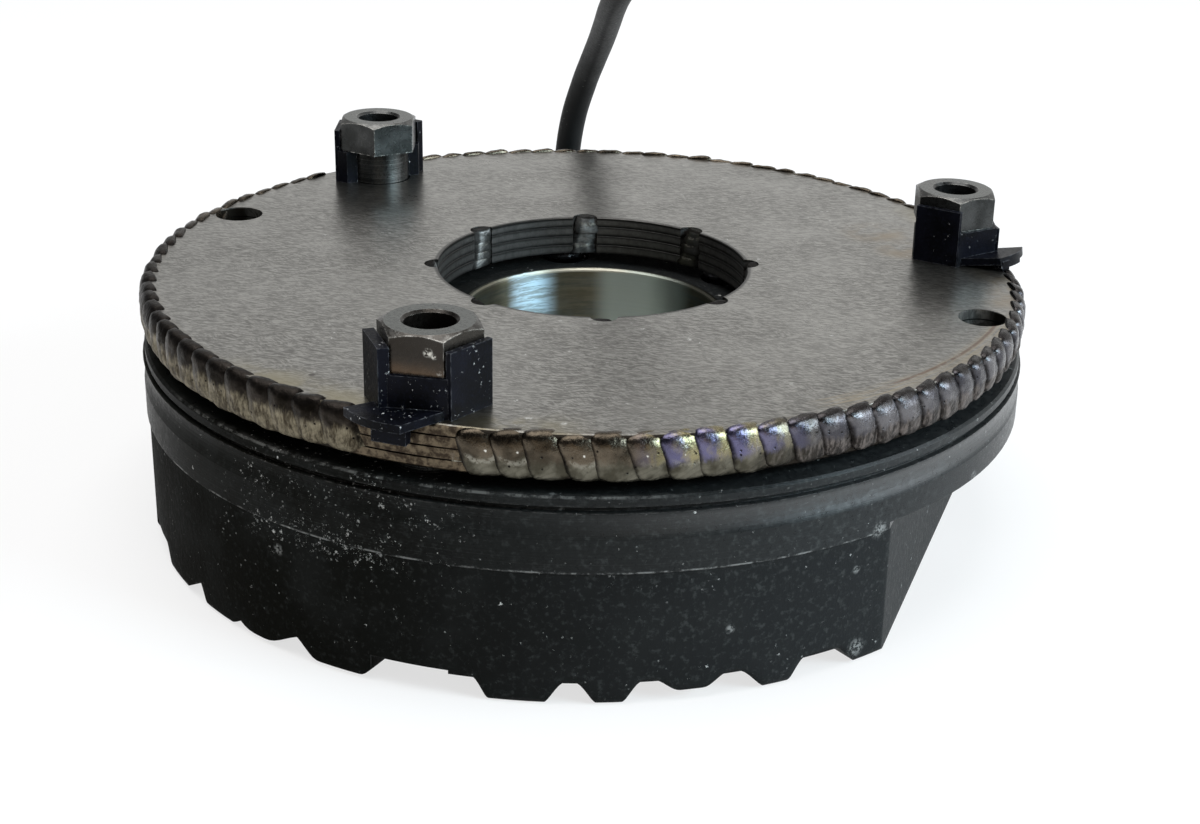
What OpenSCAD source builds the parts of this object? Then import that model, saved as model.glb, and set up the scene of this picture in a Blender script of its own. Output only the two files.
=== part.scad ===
// Spring-applied electromagnetic brake: stator, armature plate, sleeve bolts, transport clips and lead.
// The brake stands on its rib crests at z = 0. The shaft axis is Z and one sleeve bolt lies on +X.

/* [Housing casting] */
// Radius of the rough cast side
cast_r = 63.75; // [55:0.25:76.5]
// Height of the pole face above the rib crests
housing_h = 28.5; // [23.75:0.25:34.25]
// How far the turned ring stands proud of the rough casting
turned_step = 0.3; // [0.1:0.1:1]
// Height of the turned ring, from the parting line up to the pole face
turned_h = 10.1; // [8:0.1:12]
// How deep the two flats are cut in from the cast side
flat_depth = 9.95; // [6:0.05:10.5]
// Depth of the ring that overhangs the flats, below the pole face
flat_top_drop = 9.1; // [7:0.1:11]
// Direction of one flat and of one hand-release hole, the others are opposite
release_turn = 150; // [145:1:155]

/* [Turned edge] */
// Width of the bead at the rim
bead_h = 1.3; // [1:0.1:2]
// How far the bead stays inside the turned ring
bead_inset = 0.3; // [0.1:0.1:1]
// Edge break of the bead
bead_bevel = 0.35; // [0.1:0.05:0.6]
// Width of the groove under the bead
groove_h = 0.7; // [0.4:0.1:1.2]
// Depth of the groove under the bead
groove_depth = 0.6; // [0.2:0.1:1.2]
// Height of the shallow cove under the groove
cove_h = 3.6; // [2:0.1:4.5]
// Depth of the cove
cove_depth = 0.35; // [0.1:0.05:0.8]

/* [Back ribs] */
// Depth of the valleys between the ribs
rib_h = 3.1; // [2:0.1:4]
// Width of a plain rib's crest, in degrees
rib_crest = 3; // [2:0.25:5]
// Width of a plain rib's rounded flank, in degrees
rib_flank = 3.2; // [1:0.1:4]
// Rounding of the cast edge at the ribs' feet
foot_round = 0.8; // [0.3:0.1:1.2]
// Outer radius of the plain ring round the bore at the back
land_r = 38; // [30:0.5:42]
// Depth of the screw head seats at the back
head_seat_depth = 3.6; // [3.2:0.1:5]
// Diameter of the screw head seats
head_seat_d = 10.4; // [9:0.1:11]

/* [Bore tube] */
// Clear bore for the shaft and the rotor's hub
bore_d = 38; // [30:0.5:42]
// Wall of the plated tube
tube_wall = 1; // [0.6:0.1:2]
// How far the tube stands proud of the pole face
tube_lip = 0.5; // [0.2:0.1:1]

/* [Coil] */
// Width of the inner pole ring
inner_pole_w = 14; // [10:0.5:16]
// Width of the outer pole ring
outer_pole_w = 15.75; // [13:0.25:19]
// Height of the coil slot's floor above the rib crests
slot_floor = 9; // [8:0.5:12]
// Wall of the moulded coil former
former_wall = 1.2; // [0.8:0.1:1.6]
// Depth of the cast resin over the coil
potting_h = 3.4; // [2:0.1:5]

/* [Armature plate] */
// Number of steel sheets in the armature plate
sheet_count = 4; // [4:1:4]
// Thickness of one sheet
sheet_t = 1.5; // [1:0.1:2]
// How far the sheets stay inside the turned ring
sheet_inset = 1.05; // [0.8:0.05:2]
// Diameter of the armature's bore
armature_bore_d = 45.6; // [42:0.1:48]
// Air gap between the armature and the pole face, held open by springs and clips
air_gap = 1.8; // [1:0.1:2.5]
// Edge break of the sheets
sheet_bevel = 0.12; // [0.05:0.01:0.2]

/* [Welds] */
// Edge break of the outer sheets, filled by the rim weld
weld_prep = 0.35; // [0.2:0.05:0.6]
// How far the rim weld bulges past the sheets
weld_bulge = 0.9; // [0.5:0.1:1.5]
// Number of weld beads on each length between two bolts
bead_count = 29; // [20:1:34]
// Half angle of the bare edge at each bolt
weld_gap_half = 6.4; // [5:0.1:9]
// Number of short welds in the armature's bore
notch_count = 8; // [4:1:12]
// Radius of a bore notch
notch_r = 1.9; // [1.2:0.1:2.4]
// Direction of the first bore notch
notch_turn = 39; // [30:1:44]

/* [Sleeve bolts] */
// Distance of the bolt circle from the cast side
bolt_edge = 7.75; // [7.5:0.25:9]
// Width of the hex head across its flats
hex_af = 11.5; // [9.6:0.1:13.8]
// Height of the hex head
hex_h = 5.1; // [4:0.1:7]
// Diameter of the sleeve's barrel
barrel_d = 9.4; // [8.5:0.1:9.8]
// Diameter of the hole through the sleeve, for the mounting screw
through_d = 6.4; // [5.5:0.1:7.2]
// Height of the seat that the barrel is screwed down to
barrel_seat = 12; // [10:0.5:14]
// Radial clearance of the barrel in the armature
barrel_clearance = 0.3; // [0.2:0.05:0.5]

/* [Transport clips] */
// Height of the clip between the armature and the hex head
clip_h = 5.2; // [4:0.1:6]
// How far the clip's spacer stands proud of the hex
spacer_step = 0.5; // [0.2:0.1:0.8]
// Height of the two tall walls that hold the hex
clip_wall_h = 8.6; // [7:0.1:10]
// Width of the tall walls
clip_wall_w = 7.1; // [5.5:0.1:8]
// Thickness of the tall wall away from the flange
clip_wall = 0.8; // [0.6:0.1:1.4]
// Thickness of the tall wall on the flange's side
clip_thick_wall = 1.4; // [0.8:0.1:1.8]
// Thickness of the clip's flange
flange_t = 1.1; // [0.8:0.1:1.6]
// Radius of the flange about the bolt
flange_r = 11.3; // [9.5:0.1:12]
// How far the clip's nose reaches below the armature's top
nose_drop = 2.6; // [1.5:0.1:4]
// Thickness of the nose
nose_t = 1.6; // [1:0.1:2]
// How far the turned clip's flange is bent up, in degrees
flange_lift = 10; // [0:1:14]

/* [Hand release] */
// Diameter of the two hand-release holes
release_d = 7; // [5:0.1:8]
// Distance of the hand-release holes from the cast side
release_edge = 5.35; // [5:0.05:6]

/* [Springs] */
// Number of springs
spring_count = 6; // [6:1:6]
// Outer diameter of a spring
spring_d = 7; // [5:0.1:8]
// Wire of a spring
spring_wire = 1.2; // [0.8:0.1:1.4]
// Turns of a spring, with one closed turn at each end
spring_turns = 7; // [5:1:9]
// Radial room of a spring in its pocket
spring_room = 0.3; // [0.2:0.05:0.6]
// Height of the pocket floor above the rib crests
pocket_floor = 10.5; // [8:0.5:14]
// Direction of the first spring
spring_turn = 30; // [0:1:59]

/* [Lead] */
// Diameter of the lead
lead_d = 4.8; // [4:0.1:5]
// Direction in which the lead leaves the housing
lead_turn = 84; // [80:1:90]
// Height of the lead's exit above the rib crests
lead_z = 10.5; // [9.5:0.5:12]
// Diameter of the grommet inside the wall
grommet_d = 7.8; // [7:0.1:9]
// Diameter of the grommet's flange
grommet_flange_d = 10.4; // [9:0.1:11]
// Diameter of one bared core
core_d = 1.8; // [1.2:0.1:2]

/* [Hidden] */
turned_r = cast_r + turned_step;
parting_z = housing_h - turned_h;
flat_top = housing_h - flat_top_drop;
flat_r = cast_r - flat_depth;
rim_r = turned_r - bead_inset;
bead_z = housing_h - bead_h;
groove_z = bead_z - groove_h;
cove_z = groove_z - cove_h;
cove_steps = 6;
fit = 0.03;
loose = 0.1;
past = 1;

tube_r = bore_d / 2;
tube_out = tube_r + tube_wall;
tube_edge = 0.25;
slot_in = tube_out + inner_pole_w;
slot_out = cast_r - outer_pole_w;
spring_circle = tube_out + inner_pole_w / 2;
pocket_r = spring_d / 2 + spring_room;
potting_z = housing_h - potting_h;
former_in = slot_in + loose;
former_out = slot_out - loose;
former_core = former_in + former_wall;
former_low = slot_floor;
former_high = potting_z;
winding_room = 1;

armature_z = housing_h + air_gap;
armature_top = armature_z + sheet_count * sheet_t;
armature_r = turned_r - sheet_inset;
armature_bore_r = armature_bore_d / 2;
hex_z = armature_top + clip_h;
hex_top = hex_z + hex_h;
bolt_count = 3;
bolt_circle = cast_r - bolt_edge;
release_circle = cast_r - release_edge;
screw_hole_d = through_d + 0.6;
screw_bevel = 0.35;

weld_margin = 0.6;
weld_low = armature_z + weld_margin;
weld_high = armature_top;
weld_r = armature_r + weld_bulge;
weld_steps = 8;
bead_round = 3.4;
notch_fill = 0.8;

clip_snap = 1.5;
hex_slack = 0.2;
wall_in = hex_af / 2 + hex_slack;
spacer_af = hex_af + 2 * spacer_step;
nose_from = 4;
nose_to = 33;
flange_to = 50;
nose_gap = 0.35;
// Direction of one flat of each hex, of each clip's low wall, the side its nose lies on, and whether the clip
// has been turned off its place
hex_turn = [287.3, 110.5, 248.3];
clip_low = [289.5, 110.5, 250.5];
clip_side = [1, -1, -1];
clip_turned = [true, false, false];
stub_low = 4.6;
stub_high = 5.6;
// The turned clip's flange is bent up about a line this far from the bolt, in this direction from the low wall
lift_hinge = 5;
lift_turn = 10;
// Its nose is a lip under the rim, and the lip's front corner stands on the plate
lip_w = 1.6;
lip_drop = 0.6;
prop_from = 6;
prop_to = 14;
prop_h = 1.6;

spring_low = pocket_floor;
spring_high = armature_z;
grind = 0.15;
closed_pitch = spring_wire * 1.05;
open_pitch = (spring_high - spring_low - 2 * grind - 2 * closed_pitch) / (spring_turns - 2);

grommet_start = cast_r - 11.5;
grommet_seat = cast_r - 0.35;
grommet_flange_t = 1.6;
grommet_nose = 4;
grommet_nose_r = 3.5;

// Ribs that the photograph shows: directions of the left foot, of the crest's two ends and of the right foot,
// and how far the crest stays off the ground
seen_ribs = [
    [194, 197.2, 200.3, 208, 0], [206, 208.5, 211.3, 220, 0], [211, 217.8, 219.5, 226.8, 0.55],
    [224, 228.3, 233.6, 237.4, 0.4], [247.2, 249.8, 254.8, 258, 0], [258.7, 262, 263.5, 266.6, 0],
    [267.5, 270.8, 273.4, 276.4, 1.5], [277.2, 281.8, 283.2, 286.2, 0], [289.9, 294.3, 297.4, 300.2, 0]
];
rib_steps = 8;
rib_over = 0.2;
foot_steps = 4;
pad_over = 1.4;
// Ribs on the arc between the other two bolts
plain_rib_count = 10;
plain_rib_start = 13;
plain_rib_pitch = 10.4;
plain_reach = [-rib_crest / 2 - rib_flank, -rib_crest / 2, rib_crest / 2, rib_crest / 2 + rib_flank];

// Direction and height of the exit, and cast radius, for which the lead's route is written
drawn_turn = 84;
drawn_z = 10.5;
drawn_r = 63.75;
// The first points move fully with the exit, the next ones less and less
full_points = 8;
fading_points = 10;
// Route of the lead from inside the housing's wall, over the brake and down to the ground
drawn_route = [
    [5.5, 52, 10.5], [6.3, 60, 10.5], [7.2, 68.5, 10.5], [7.6, 72.5, 10.5], [8.5, 81, 12.3], [9.3, 88.2, 17.3],
    [10.2, 92.4, 25], [11.3, 92.7, 33.6], [12.8, 89.3, 41.8], [13.6, 84, 47.6], [13.9, 77.3, 52.8],
    [13.6, 69.5, 57.6], [13, 61, 62.2], [12.8, 52, 67], [13.8, 43, 72], [17, 34.5, 77], [22.5, 27, 81.5],
    [30, 21, 85.5], [39.5, 17, 88.5], [50, 14.5, 90.5], [61, 13, 91], [72, 12, 90], [82.5, 11.5, 87],
    [92.5, 11, 82.5], [101.5, 11, 76], [109.5, 11, 68], [116, 11, 59], [121.5, 10.5, 49.5], [126, 9.5, 39.5],
    [130, 7.5, 29.5], [134.5, 4, 20.5], [139.5, -1.5, 13], [144, -9, 7], [147, -18, 3.6], [147, -28, 2.4],
    [143.5, -37.5, 2.4], [136.5, -45, 2.4]
];
core_route_1 = [[135.5, -44.4, 2.4], [131.8, -48, 2.1], [127, -50.9, 1.5], [121.5, -52.6, 1.2], [115.8, -53, 1.2]];
core_route_2 = [[137.1, -45.9, 2.4], [133.7, -49.9, 2.1], [130.8, -54.6, 1.5], [128.6, -59.9, 1.2], [127.6, -65.5, 1.2]];
ferrule_l = 8;
ferrule_d = 2.4;
tube_sides = 10;
core_sides = 8;
wire_sides = 6;
wire_rings = 12;

$fn = 96;
thin_fn = 360;
corner_in = 0.4;

function unit(v) = v / norm(v);

function tangent(p, i) = unit(p[min(i + 1, len(p) - 1)] - p[max(i - 1, 0)]);

// Sideways directions along a route, each turned as little as possible from the one before
function sideways(p, i, last) =
    i == len(p) ? [] :
    let (t = tangent(p, i), s = unit(last - t * (last * t)))
    concat([s], sideways(p, i + 1, s));

function ring_point(centre, t, s, r, a) = centre + r * (cos(a) * s + sin(a) * cross(t, s));

function clamp_z(p, low, high) = [p[0], p[1], max(low, min(high, p[2]))];

// A round tube swept along a route, its ends ground off below low and above high
module swept_tube(p, r, sides, first, low = -1000, high = 1000) {
    side = sideways(p, 0, first);
    points = [
        for (i = [0:len(p) - 1])
            for (k = [0:sides - 1])
                clamp_z(ring_point(p[i], tangent(p, i), side[i], r, 360 * k / sides), low, high)
    ];
    last = (len(p) - 1) * sides;
    walls = [
        for (i = [0:len(p) - 2])
            for (k = [0:sides - 1])
                [i * sides + k, (i + 1) * sides + k, (i + 1) * sides + (k + 1) % sides, i * sides + (k + 1) % sides]
    ];
    start_cap = [for (k = [0:sides - 1]) k];
    end_cap = [for (k = [0:sides - 1]) last + sides - 1 - k];
    polyhedron(points = points, faces = concat([start_cap, end_cap], walls));
}

module around(turn, r) {
    rotate([0, 0, turn])
        translate([r, 0, 0])
            children();
}

module at_bolts() {
    for (i = [0:bolt_count - 1])
        around(360 / bolt_count * i, bolt_circle)
            children();
}

module at_releases() {
    for (turn = [release_turn, release_turn + 180])
        around(turn, release_circle)
            children();
}

module at_springs() {
    for (i = [0:spring_count - 1])
        around(spring_turn + 360 / spring_count * i, spring_circle)
            children();
}

module drill(r, z_from, z_to) {
    translate([0, 0, z_from])
        cylinder(h = z_to - z_from, r = r);
}

function foot_points() = [
    for (k = [0:foot_steps])
        [cast_r - foot_round * (1 - sin(90 * k / foot_steps)), foot_round * (1 - cos(90 * k / foot_steps))]
];

function cove_points() = [
    for (k = [0:cove_steps])
        [turned_r - cove_depth * sin(180 * k / cove_steps), cove_z + cove_h * k / cove_steps]
];

// Outline of the casting: cast side, turned ring, cove, groove and bead, with the coil slot in the pole face
function housing_profile() = concat(
    [[tube_out + fit, 0]],
    foot_points(),
    [[cast_r, parting_z], [turned_r, parting_z]],
    cove_points(),
    [[rim_r - groove_depth, groove_z], [rim_r - groove_depth, bead_z], [rim_r, bead_z],
     [rim_r, housing_h - bead_bevel], [rim_r - bead_bevel, housing_h],
     [slot_out, housing_h], [slot_out, slot_floor], [slot_in, slot_floor], [slot_in, housing_h],
     [tube_out + fit, housing_h]]
);

// One flank of a rib as a smooth S curve, from its foot up to its crest
function flank(foot_x, crest_x, crest_z) =
    let (foot_z = rib_h + rib_over)
    [for (k = [0:rib_steps])
        [foot_x + (crest_x - foot_x) * k / rib_steps,
         foot_z - (foot_z - crest_z) * (1 - cos(180 * k / rib_steps)) / 2]];

function reversed(points) = [for (k = [len(points) - 1:-1:0]) points[k]];

// Section across a rib, at the cast side: a full rib runs a little past the plane of the crests
function rib_section(x, off_ground) =
    let (crest_z = off_ground > 0 ? off_ground : -rib_over)
    concat(
        flank(x[0], x[1], crest_z),
        reversed(flank(x[3], x[2], crest_z)),
        [[x[3], rib_h + past], [x[0], rib_h + past]]
    );

// Directions of the left foot, of the crest's two ends and of the right foot
module rib(turns, off_ground) {
    middle = (turns[1] + turns[2]) / 2;
    rotate([0, 0, middle])
        translate([land_r - past, 0, 0])
            rotate([90, 0, 90])
                linear_extrude(height = cast_r - land_r + 3 * past)
                    polygon(rib_section([for (k = [0:3]) cast_r * sin(turns[k] - middle)], off_ground));
}

// Plain pad behind a flat, as wide as the flat is long
module flat_pad(turn) {
    half = sqrt(cast_r * cast_r - flat_r * flat_r);
    rotate([0, 0, turn])
        translate([land_r - past, -half - pad_over, -2 * past])
            cube([cast_r - land_r + 3 * past, 2 * half + 2 * pad_over, rib_h + 3 * past]);
}

// What is cut away between the ribs, outside the plain ring round the bore
module valleys() {
    difference() {
        drill(cast_r + past, -past, rib_h);
        drill(land_r, -2 * past, rib_h + past);
        for (r = seen_ribs)
            rib([for (k = [0:3]) r[k]], r[4]);
        for (i = [0:plain_rib_count - 1])
            rib([for (reach = plain_reach) plain_rib_start + plain_rib_pitch * i + reach], 0);
        flat_pad(release_turn);
        flat_pad(release_turn + 180);
    }
}

module flat_cut(turn) {
    rotate([0, 0, turn])
        translate([flat_r, -turned_r, -past])
            cube([turned_r, 2 * turned_r, flat_top + past]);
}

module head_seat() {
    drill(head_seat_d / 2, -past, head_seat_depth);
    translate([0, -head_seat_d / 2, -past])
        cube([turned_r, head_seat_d, head_seat_depth + past]);
}

module lead_hole() {
    rotate([0, 0, lead_turn])
        translate([slot_out - past, 0, lead_z])
            rotate([0, 90, 0])
                cylinder(h = turned_r - slot_out + 2 * past, r = grommet_d / 2 + fit);
}

module lead_spotface() {
    rotate([0, 0, lead_turn])
        translate([grommet_seat, 0, lead_z])
            rotate([0, 90, 0])
                cylinder(h = turned_r, r = grommet_flange_d / 2 + loose);
}

module magnet_housing() {
    color([0.11, 0.11, 0.12])
    difference() {
        rotate_extrude()
            polygon(housing_profile());
        valleys();
        flat_cut(release_turn);
        flat_cut(release_turn + 180);
        at_bolts() {
            drill(barrel_d / 2 + fit, barrel_seat, housing_h + past);
            drill(screw_hole_d / 2, 0, barrel_seat + past);
            head_seat();
        }
        at_releases()
            drill(release_d / 2, flat_top - past, housing_h + past);
        at_springs()
            drill(pocket_r, pocket_floor, housing_h + past);
        lead_hole();
        lead_spotface();
    }
}

module bore_tube() {
    color([0.62, 0.66, 0.6])
    rotate_extrude()
        polygon([
            [tube_r, 0], [tube_out, 0], [tube_out, housing_h + tube_lip - tube_edge],
            [tube_out - tube_edge, housing_h + tube_lip], [tube_r + tube_edge, housing_h + tube_lip],
            [tube_r, housing_h + tube_lip - tube_edge]
        ]);
}

// Moulded bobbin: a thin core with a flange at each end, open towards the outside
module coil_former() {
    color([0.85, 0.83, 0.76])
    rotate_extrude()
        polygon([
            [former_in, former_low], [former_out, former_low], [former_out, former_low + former_wall],
            [former_core, former_low + former_wall], [former_core, former_high - former_wall],
            [former_out, former_high - former_wall], [former_out, former_high], [former_in, former_high]
        ]);
}

module coil_winding() {
    color([0.72, 0.4, 0.2])
    rotate_extrude()
        translate([former_core + fit, former_low + former_wall])
            square([former_out - winding_room - former_core - fit, former_high - former_low - 2 * former_wall]);
}

module potting_ring() {
    color([0.08, 0.08, 0.08])
    rotate_extrude()
        translate([slot_in + fit, potting_z])
            square([slot_out - slot_in - 2 * fit, potting_h - loose]);
}

// Height of the wire's centre after a number of turns: closed turns at both ends, open ones between
function wire_z(turns) =
    spring_low + grind
    + closed_pitch * min(turns, 1)
    + open_pitch * max(0, min(turns, spring_turns - 1) - 1)
    + closed_pitch * max(0, turns - spring_turns + 1);

module spring(index) {
    mean_r = (spring_d - spring_wire) / 2;
    route = [
        for (k = [0:spring_turns * wire_rings])
            let (a = 360 * k / wire_rings)
            [mean_r * cos(a), mean_r * sin(a), wire_z(k / wire_rings)]
    ];
    color([0.55, 0.56, 0.58])
    around(spring_turn + 360 / spring_count * (index - 1), spring_circle)
        swept_tube(route, spring_wire / 2, wire_sides, [1, 0, 0], spring_low, spring_high);
}

// Hex bar with its top corners turned off at 30 degrees
module hex_head() {
    corner_r = hex_af / sqrt(3);
    face_r = hex_af / 2 - 0.25;
    intersection() {
        rotate([0, 0, 30])
            translate([0, 0, hex_z])
                cylinder(h = hex_h, r = corner_r, $fn = 6);
        rotate_extrude()
            polygon([
                [0, hex_z], [corner_r + past, hex_z],
                [corner_r + past, hex_top - (corner_r + past - face_r) * tan(30)],
                [face_r, hex_top], [0, hex_top]
            ]);
    }
}

module sleeve_bolt(index) {
    color([0.2, 0.19, 0.19])
    around(360 / bolt_count * (index - 1), bolt_circle)
        difference() {
            union() {
                rotate([0, 0, hex_turn[index - 1] - 360 / bolt_count * (index - 1)])
                    hex_head();
                drill(barrel_d / 2, barrel_seat, hex_z + loose);
            }
            drill(through_d / 2, barrel_seat - past, hex_top + past);
            translate([0, 0, hex_top - screw_bevel])
                cylinder(h = screw_bevel + fit, r1 = through_d / 2, r2 = through_d / 2 + screw_bevel + fit);
        }
}

module hexagon(af, h) {
    rotate([0, 0, 30])
        cylinder(h = h, r = af / sqrt(3), $fn = 6);
}

// Wedge between two directions about the bolt
module wedge(from, to, r, h) {
    linear_extrude(height = h)
        polygon([[0, 0], [r * cos(from), r * sin(from)],
                 [r * cos((from + to) / 2), r * sin((from + to) / 2)], [r * cos(to), r * sin(to)]]);
}

// Half of a hexagonal spacer under the head, with a tall wall on each side of the low one
module clip_walls(broken) {
    intersection() {
        hexagon(spacer_af, clip_h);
        translate([-clip_snap, -spacer_af, -past])
            cube([2 * spacer_af, 2 * spacer_af, clip_h + 2 * past]);
    }
    tall_wall(-60, clip_wall);
    difference() {
        tall_wall(60, broken ? clip_wall : clip_thick_wall);
        if (broken)
            broken_off();
    }
}

module tall_wall(turn, thickness) {
    rotate([0, 0, turn])
        translate([wall_in, -clip_wall_w / 2, 0])
            cube([thickness, clip_wall_w, clip_wall_h]);
}

// Slanting break that leaves a stub of one tall wall
module broken_off() {
    rotate([0, 0, 60])
        translate([wall_in - past, 0, 0])
            rotate([90, 0, 90])
                linear_extrude(height = clip_wall + 2 * past)
                    polygon([[-clip_wall_w, stub_high], [0, stub_low], [clip_wall_w, stub_low + 0.3],
                             [clip_wall_w, clip_wall_h + past], [-clip_wall_w, clip_wall_h + past]]);
}

function polar(r, a) = [r * cos(a), r * sin(a)];

// Segment of a disc, cut off straight from the low wall's corner to where the nose begins
module clip_flange() {
    corner = polar(spacer_af / sqrt(3) - corner_in, -30);
    rim_start = polar(flange_r, nose_from);
    beyond = rim_start + (rim_start - corner) / 10;
    intersection() {
        cylinder(h = flange_t, r = flange_r);
        linear_extrude(height = flange_t)
            polygon([[0, 0], corner, beyond, polar(2 * flange_r, (nose_from + flange_to) / 2),
                     polar(2 * flange_r, flange_to)]);
    }
}

// The nose hooks over the armature's edge, concentric with it
module clip_nose(turn_back) {
    nose_r = armature_r + nose_gap;
    translate([0, 0, -nose_drop])
        intersection() {
            rotate([0, 0, turn_back])
                translate([-bolt_circle, 0, 0])
                    difference() {
                        cylinder(h = nose_drop + flange_t, r = nose_r + nose_t);
                        drill(nose_r, -past, nose_drop + flange_t + past);
                    }
            wedge(nose_from + 1, nose_to, flange_r, nose_drop + flange_t);
        }
}

// Part of a ring under the flange's rim, between two directions
module rim_piece(from, to, z_from, z_to) {
    translate([0, 0, z_from])
        intersection() {
            wedge(from, to, 2 * flange_r, z_to - z_from);
            difference() {
                cylinder(h = z_to - z_from, r = flange_r);
                drill(flange_r - lip_w, -past, z_to - z_from + past);
            }
        }
}

// On the turned clip the nose has climbed on to the plate and bends the flange up
module lifted_flange() {
    intersection() {
        rotate([0, 0, lift_turn])
            translate([lift_hinge, 0, 0])
                rotate([0, -flange_lift, 0])
                    translate([-lift_hinge, 0, 0])
                        rotate([0, 0, -lift_turn]) {
                            clip_flange();
                            rim_piece(nose_from + 1, nose_to, -lip_drop, flange_t / 2);
                        }
        drill(2 * flange_r, 0, clip_h);
    }
    rim_piece(prop_from, prop_to, 0, prop_h);
}

module clip(index) {
    turn = 360 / bolt_count * (index - 1);
    low = clip_low[index - 1] - turn;
    color([0.1, 0.11, 0.14])
    around(turn, bolt_circle)
        translate([0, 0, armature_top])
            rotate([0, 0, low])
                mirror([0, clip_side[index - 1] < 0 ? 1 : 0, 0])
                    difference() {
                        union() {
                            clip_walls(clip_turned[index - 1]);
                            if (clip_turned[index - 1]) {
                                lifted_flange();
                            } else {
                                clip_flange();
                                clip_nose(clip_side[index - 1] < 0 ? low : -low);
                            }
                        }
                        drill(barrel_d / 2 + loose, -past, clip_wall_h + past);
                    }
}

// One sheet with its edge breaks; the outer sheets have a wider break that the rim weld fills
module armature_sheet(index) {
    low = armature_z + sheet_t * (index - 1);
    high = low + sheet_t;
    low_break = index == 1 ? weld_prep : sheet_bevel;
    high_break = index == sheet_count ? weld_prep : sheet_bevel;
    color([0.5, 0.48, 0.45])
    difference() {
        rotate_extrude()
            polygon([
                [armature_bore_r + sheet_bevel, low], [armature_r - low_break, low], [armature_r, low + low_break],
                [armature_r, high - high_break], [armature_r - high_break, high],
                [armature_bore_r + sheet_bevel, high], [armature_bore_r, high - sheet_bevel],
                [armature_bore_r, low + sheet_bevel]
            ]);
        for (i = [0:notch_count - 1])
            around(notch_turn + 360 / notch_count * i, armature_bore_r)
                drill(notch_r, low - past, high + past);
        at_bolts()
            drill(barrel_d / 2 + barrel_clearance, low - past, high + past);
        at_releases()
            drill(release_d / 2, low - past, high + past);
    }
}

// Barrel-shaped band round the sheets' edges, filling the break of the top sheet
function weld_profile() = concat(
    [[armature_r, weld_low]],
    [for (k = [1:weld_steps - 1])
        let (a = 180 * k / weld_steps)
        [armature_r + weld_bulge * pow(sin(a), 0.6), (weld_low + weld_high) / 2 - (weld_high - weld_low) / 2 * cos(a)]],
    [[armature_r - weld_prep, weld_high], [armature_r, weld_high - weld_prep]]
);

// Beads of the weld, each an upright round, on the three lengths between the bolts
module weld_beads() {
    length = 360 / bolt_count - 2 * weld_gap_half;
    for (i = [0:bolt_count - 1])
        for (k = [0:bead_count - 1])
            around(360 / bolt_count * i + weld_gap_half + length * (k + 0.5) / bead_count, weld_r - bead_round)
                drill(bead_round, armature_z, armature_top + past);
}

module rim_weld() {
    color([0.3, 0.24, 0.2])
    intersection() {
        rotate_extrude($fn = thin_fn)
            polygon(weld_profile());
        weld_beads();
    }
}

module bore_welds() {
    color([0.45, 0.44, 0.44])
    difference() {
        for (i = [0:notch_count - 1])
            around(notch_turn + 360 / notch_count * i, armature_bore_r)
                drill(notch_r - fit, armature_z + sheet_bevel, armature_top - sheet_bevel);
        drill(armature_bore_r + notch_fill, armature_z - past, armature_top + past, $fn = thin_fn);
    }
}

module lead_grommet() {
    color([0.07, 0.07, 0.07])
    rotate([0, 0, lead_turn])
        translate([0, 0, lead_z])
            rotate([0, 90, 0])
                rotate_extrude()
                    polygon([
                        [lead_d / 2 + fit, grommet_start], [grommet_d / 2, grommet_start],
                        [grommet_d / 2, grommet_seat], [grommet_flange_d / 2, grommet_seat],
                        [grommet_flange_d / 2, grommet_seat + grommet_flange_t],
                        [grommet_nose_r, grommet_seat + grommet_flange_t],
                        [grommet_nose_r - 0.6, grommet_seat + grommet_flange_t + grommet_nose],
                        [lead_d / 2 + fit, grommet_seat + grommet_flange_t + grommet_nose]
                    ]);
}

// A point of the lead's route, moved with the exit by a share of the way
function moved(p, share) =
    let (turn = share * (lead_turn - drawn_turn), out = share * (cast_r - drawn_r))
    [p[0] * cos(turn) - p[1] * sin(turn) + out * cos(lead_turn),
     p[0] * sin(turn) + p[1] * cos(turn) + out * sin(lead_turn),
     p[2] + share * (lead_z - drawn_z)];

module lead() {
    route = [
        for (i = [0:len(drawn_route) - 1])
            moved(drawn_route[i], max(0, min(1, 1 - (i - full_points) / fading_points)))
    ];
    color([0.06, 0.06, 0.06])
    swept_tube(route, lead_d / 2, tube_sides, [0, 0, 1]);
}

module core(route) {
    color([0.2, 0.2, 0.22])
    swept_tube(route, core_d / 2, core_sides, [0, 0, 1]);
}

// Crimped sleeve on the end of a core, in line with its last stretch
module ferrule(route) {
    tip = route[len(route) - 1];
    way = unit(tip - route[len(route) - 2]);
    color([0.75, 0.75, 0.76])
    swept_tube([tip, tip + ferrule_l * way], ferrule_d / 2, core_sides, [0, 0, 1]);
}

magnet_housing();
bore_tube();
coil_former();
coil_winding();
potting_ring();
spring(1);  // spring_1
spring(2);  // spring_2
spring(3);  // spring_3
spring(4);  // spring_4
spring(5);  // spring_5
spring(6);  // spring_6
sleeve_bolt(1);  // sleeve_bolt_1
sleeve_bolt(2);  // sleeve_bolt_2
sleeve_bolt(3);  // sleeve_bolt_3
clip(1);  // clip_1
clip(2);  // clip_2
clip(3);  // clip_3
armature_sheet(1);  // armature_sheet_1
armature_sheet(2);  // armature_sheet_2
armature_sheet(3);  // armature_sheet_3
armature_sheet(4);  // armature_sheet_4
rim_weld();
bore_welds();
lead_grommet();
lead();
core(core_route_1);  // core_1
core(core_route_2);  // core_2
ferrule(core_route_1);  // ferrule_1
ferrule(core_route_2);  // ferrule_2
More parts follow.
